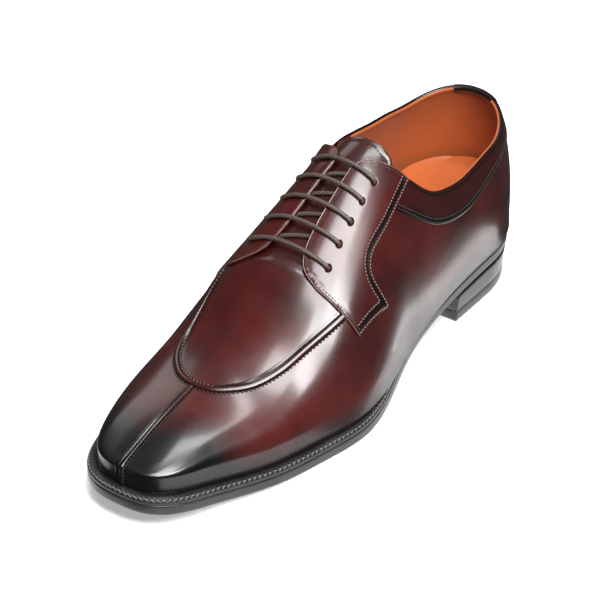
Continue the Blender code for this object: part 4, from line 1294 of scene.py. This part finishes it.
def tube(name, points, radius, look, slot, replaced, sides=14):
    """A round cord along a line, with its run and its turn kept for the braid."""
    tangent = unit(np.gradient(points, axis=0))
    upright = np.zeros_like(points)
    upright[0] = unit(np.cross(tangent[0], [0.3, 0.5, 0.8]))
    for i in range(1, len(points)):
        drawn = upright[i - 1] - tangent[i] * (upright[i - 1] @ tangent[i])
        upright[i] = drawn / np.linalg.norm(drawn)
    crosswise = np.cross(tangent, upright)
    turn = np.linspace(0, 2 * math.pi, sides + 1)
    ring = np.stack([np.cos(turn), np.sin(turn)], axis=-1) * radius
    rows = points[:, None] + upright[:, None] * ring[:, :1] + crosswise[:, None] * ring[:, 1:]
    kept = {"run": np.repeat(walk(points), sides + 1), "turn": np.tile(turn, len(points))}
    faces = grid_faces(len(points), sides + 1)
    return piece(name, rows.reshape(-1, 3), faces, look, slot, replaced, outward=0, attributes=kept)


lace_line = eased(lace_route(), 0.5 * MM, 2)
laces = tube("waxed_lace", lace_line, LACE_RADIUS, lace_look, "waxed_lace", ("laces",))
laces.data.flip_normals()


# Collar
# A band of the same calf round the top of the quarters, under the facings at both ends. Its
# lower edge is folded and sewn with two rows, and its upper edge is turned over the topline.

collar_calf = calf("collar_calf", "#2c0908", "#0a0605", "#390c0a", roughness=0.34)
collar_thread = thread("grey_collar_thread", "#57504c", "#2e2826")


def collar_edge(extra):
    """Level of the collar's lower edge, moved down by a way, with small steps smoothed out."""
    level = crossing(below_topline(lambda along: collar_share(along / LENGTH) * COLLAR_WIDTH + extra))
    for _ in range(60):
        level = level * 0.5 + (np.roll(level, 1) + np.roll(level, -1)) * 0.25
    return level


collar_level = collar_edge(0.0)
rear_end = int(np.searchsorted(LOOP[:SIDE_COUNT, 1], 0.56 * LENGTH))
order = np.array(list(range(rear_end, 0, -1)) + [0] + [len(LOOP) - i for i in range(1, rear_end + 1)])


def way_out(places):
    """Share of the width from the ridge to a place, or over 1 at the back."""
    return np.abs(places[:, 0] - ridge(places[:, 1])) / BALL_WIDTH + (places[:, 1] < 0.3 * LENGTH)


order = order[way_out(ring_places(collar_level, order)) > 0.24]
behind = ring_places(topline_level, order)
topline_out = way_out(behind)
THROAT_OUT = 0.238
covered = 0.3 + 0.7 * smooth(0.15, THROAT_OUT, topline_out)
COLLAR_ROWS = 26
COLLAR_LOW = 0.0001
COLLAR_THICKNESS = 0.0008


def ring_line(level, offset, order):
    """Points over the form along some of its columns, at a level for each, with the normals."""
    places = ring_places(level, order)
    return on_form(*places.T, offset), form_normal(*places.T)


def hidden_by_facing(places):
    """Which places lie under a facing, well inside its edge."""
    hidden = np.zeros(len(places), bool)
    for side in (1, -1):
        runs = (FACING_INNER, FACING_TOP, FACING_BACK, FACING_TAB, FACING_FRONT)
        outline = to_sheet(np.concatenate([side_run(run, side, 30)[:-1] for run in runs]))
        flat = to_sheet(places)
        within = inside(flat, outline)
        within[within] = line_distance(flat[within], outline) > 1.2 * MM
        hidden |= within & (np.sign(places[:, 0] - ridge(places[:, 1])) == side)
    return hidden


depths = np.linspace(0, 1, COLLAR_ROWS + 1) ** 1.5 * COLLAR_WIDTH
rows = []
for k in range(COLLAR_ROWS + 1):
    part = np.ones(len(LOOP))
    part[order] = (k / COLLAR_ROWS) ** 1.5 * covered
    level = collar_level * (1 - part) + topline_level * part
    high = COLLAR_LOW + rounded(depths[k], COLLAR_THICKNESS, 0.8 * MM)
    rows.append(ring_line(level, high, order)[0])
base = ring_line(collar_level, -0.2 * MM, order)[0]
rows = np.array([base] + rows)
hidden = np.all([hidden_by_facing(row[:, :2]) for row in rows[1:]], axis=0)
rows = rows[:, ~hidden]
collar_order = order[~hidden]
points = rows.reshape(-1, 3)
# The band from the lower edge to past the second row of stitches is painted dark, and the rest of the collar
# a little darker.
lower_band_dark = 0.9 * (1 - smooth(3.3 * MM, 4.2 * MM, np.append(0, depths)))
shade = np.maximum(burnish_and_shade(points), np.repeat(np.maximum(lower_band_dark, 0.2), rows.shape[1]))
piece("collar_band", points, grid_faces(rows.shape[0], rows.shape[1]), collar_calf, "collar_calf",
      ("collar_panel",), attributes={"burnish_and_shade": shade})


for number, extra in enumerate((-1.0, -3.2), start=1):
    points, normals = ring_line(collar_edge(extra * MM), 0.85 * MM, collar_order)
    sew(f"collar_stitches_{number}", points, normals, collar_thread, "collar_calf", 2.0, 1.5, 0.42, 0.26)

LIP = ((0.95, -2.4), (0.95, -1.2), (0.8, -0.5), (0.4, -0.05), (-0.1, 0.1), (-0.5, 0.0), (-0.75, -0.3),
       (-0.85, -0.9))
BEAD = ((-0.6, -0.3), (-0.85, 0.05), (-1.25, 0.2), (-1.65, 0.05), (-1.9, -0.4), (-2.0, -1.0), (-1.95, -1.6),
        (-1.75, -2.4))


def lip_strip(name, profile, look, slot, order):
    """A strip turned over the topline, from (out, up) pairs in mm."""
    points, normals = ring_line(topline_level, 0.0, order)
    upright = unit(np.cross(normals, unit(np.gradient(points, axis=0))))
    upright *= np.sign(upright[:, 2:3])
    flat = np.concatenate([points + normals * out * MM + upright * up * MM for out, up in profile])
    piece(name, flat, grid_faces(len(profile), len(points)), look, slot, outward=0,
          attributes={"burnish_and_shade": np.full(len(flat), 0.75)})


topline_order = order[(topline_out > THROAT_OUT) & (topline_level[order] > 0.02)]
lip_strip("topline_fold", LIP, collar_calf, "collar_calf", topline_order)
lip_strip("lining_bead", BEAD, tan_leather, "insole_leather", topline_order)


# Heel tab
# A small tongue of calf folded over the topline at the back and sewn down outside and inside,
# so that the heel of the foot slides past it and the topline doesn't tear.

TAB_HALF = 0.0125
TAB = ((1.3, -7.0), (1.6, -6.5), (1.65, -5.0), (1.65, -2.5), (1.55, -1.0), (1.2, 0.1), (0.5, 0.6),
       (-0.5, 0.7), (-1.4, 0.5), (-2.1, -0.2), (-2.3, -1.0), (-2.3, -2.2), (-2.2, -2.9), (-1.8, -3.2))
tab_order = order[(np.abs(behind[:, 0] - ridge(behind[:, 1])) < TAB_HALF) & (behind[:, 1] < 0.1 * LENGTH)]
lip_strip("heel_tab", TAB, collar_calf, "collar_calf", tab_order)


# Studio
# A plain white table under large soft lamps, and the camera above the toe's lateral corner, as in
# the photograph.


def sheet(name, corners, height, colour, roughness, strength):
    """A flat sheet of the studio, which glows a little."""
    look = finish_with("white_" + name, {
        "Base Color": linear(colour), "Roughness": roughness,
        "Emission Color": linear("#ffffff"), "Emission Strength": strength})[0]
    mesh = bpy.data.meshes.new(name)
    mesh.from_pydata([(x, y, 0) for x, y in corners], [], [(0, 1, 2, 3)])
    mesh.materials.append(look)
    made = bpy.data.objects.new(name, mesh)
    bpy.context.scene.collection.objects.link(made)
    made.location.z = height
    made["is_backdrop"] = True
    return made


table = sheet("table", ((-6, -6), (6, -6), (6, 6), (-6, 6)), 0.0, "#fbfbfb", 0.6, 0.35)
table.visible_glossy = False

# Two cards under the shoe that show only in the shine of the leather's low edges
CARD = ((-0.066, -0.165), (0.066, -0.165), (0.066, 0.165), (-0.066, 0.165))
BRIGHT_CARD = ((0.058, 0.045), (0.064, 0.045), (0.086, 0.17), (0.068, 0.17))
for card in (sheet("card", CARD, -0.0005, "#f4f4f4", 0.7, 0.85),
             sheet("bright_card", BRIGHT_CARD, -0.0004, "#f4f4f4", 0.7, 2.3)):
    card.visible_camera = False
    card.visible_diffuse = False
    card.visible_shadow = False

world = bpy.data.worlds.new("studio")
bpy.context.scene.world = world
world.use_nodes = True
world.node_tree.nodes["Background"].inputs["Color"].default_value = linear("#f2f4f6")
world.node_tree.nodes["Background"].inputs["Strength"].default_value = 0.06


def lamp(name, place_at, size, radiance, aim=None, turn=0.0):
    """A flat soft lamp of a given brightness, which faces a place or straight down."""
    data = bpy.data.lights.new(name, "AREA")
    data.shape = "RECTANGLE"
    data.size, data.size_y = size
    data.energy = radiance * math.pi * size[0] * size[1]
    made = bpy.data.objects.new(name, data)
    made.location = place_at
    made.rotation_mode = "QUATERNION"
    back = Vector(place_at) - Vector(aim) if aim else Vector((0, 0, 1))
    made.rotation_quaternion = back.to_track_quat("Z", "Y") @ Quaternion((0, 0, 1), math.radians(turn))
    bpy.context.scene.collection.objects.link(made)
    return made


ON_SHOE = (0, 0, 0.05)
lamp("lamp_overhead", (0.31, -0.26, 1.05), (0.60, 0.46), 11.0)
lamp("lamp_lateral", (0.90, -0.38, 1.05), (1.05, 0.40), 19.0, turn=16)
lamp("lamp_toe", (0.04, 0.15, 1.05), (0.56, 0.13), 12.0, turn=16)
lamp("lamp_left", (-1.0, 0.47, 0.86), (0.5, 0.7), 1.4, aim=ON_SHOE)
lamp("lamp_fill", (0.3, 0.2, 1.6), (2.2, 2.2), 0.85, aim=ON_SHOE).visible_glossy = False

camera_data = bpy.data.cameras.new("camera")
camera_data.sensor_width = 36
camera_data.lens = 140
camera_data.clip_start = 0.05
camera = bpy.data.objects.new("camera", camera_data)
camera.location = (0.5517, -0.7872, 0.7176)
camera.rotation_mode = "QUATERNION"
camera.rotation_quaternion = (camera.location - Vector((-0.0044, -0.0044, 0.0436))).to_track_quat("Z", "Y")
bpy.context.scene.collection.objects.link(camera)
bpy.context.scene.camera = camera
bpy.context.scene.view_settings.view_transform = "Standard"

low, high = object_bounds()
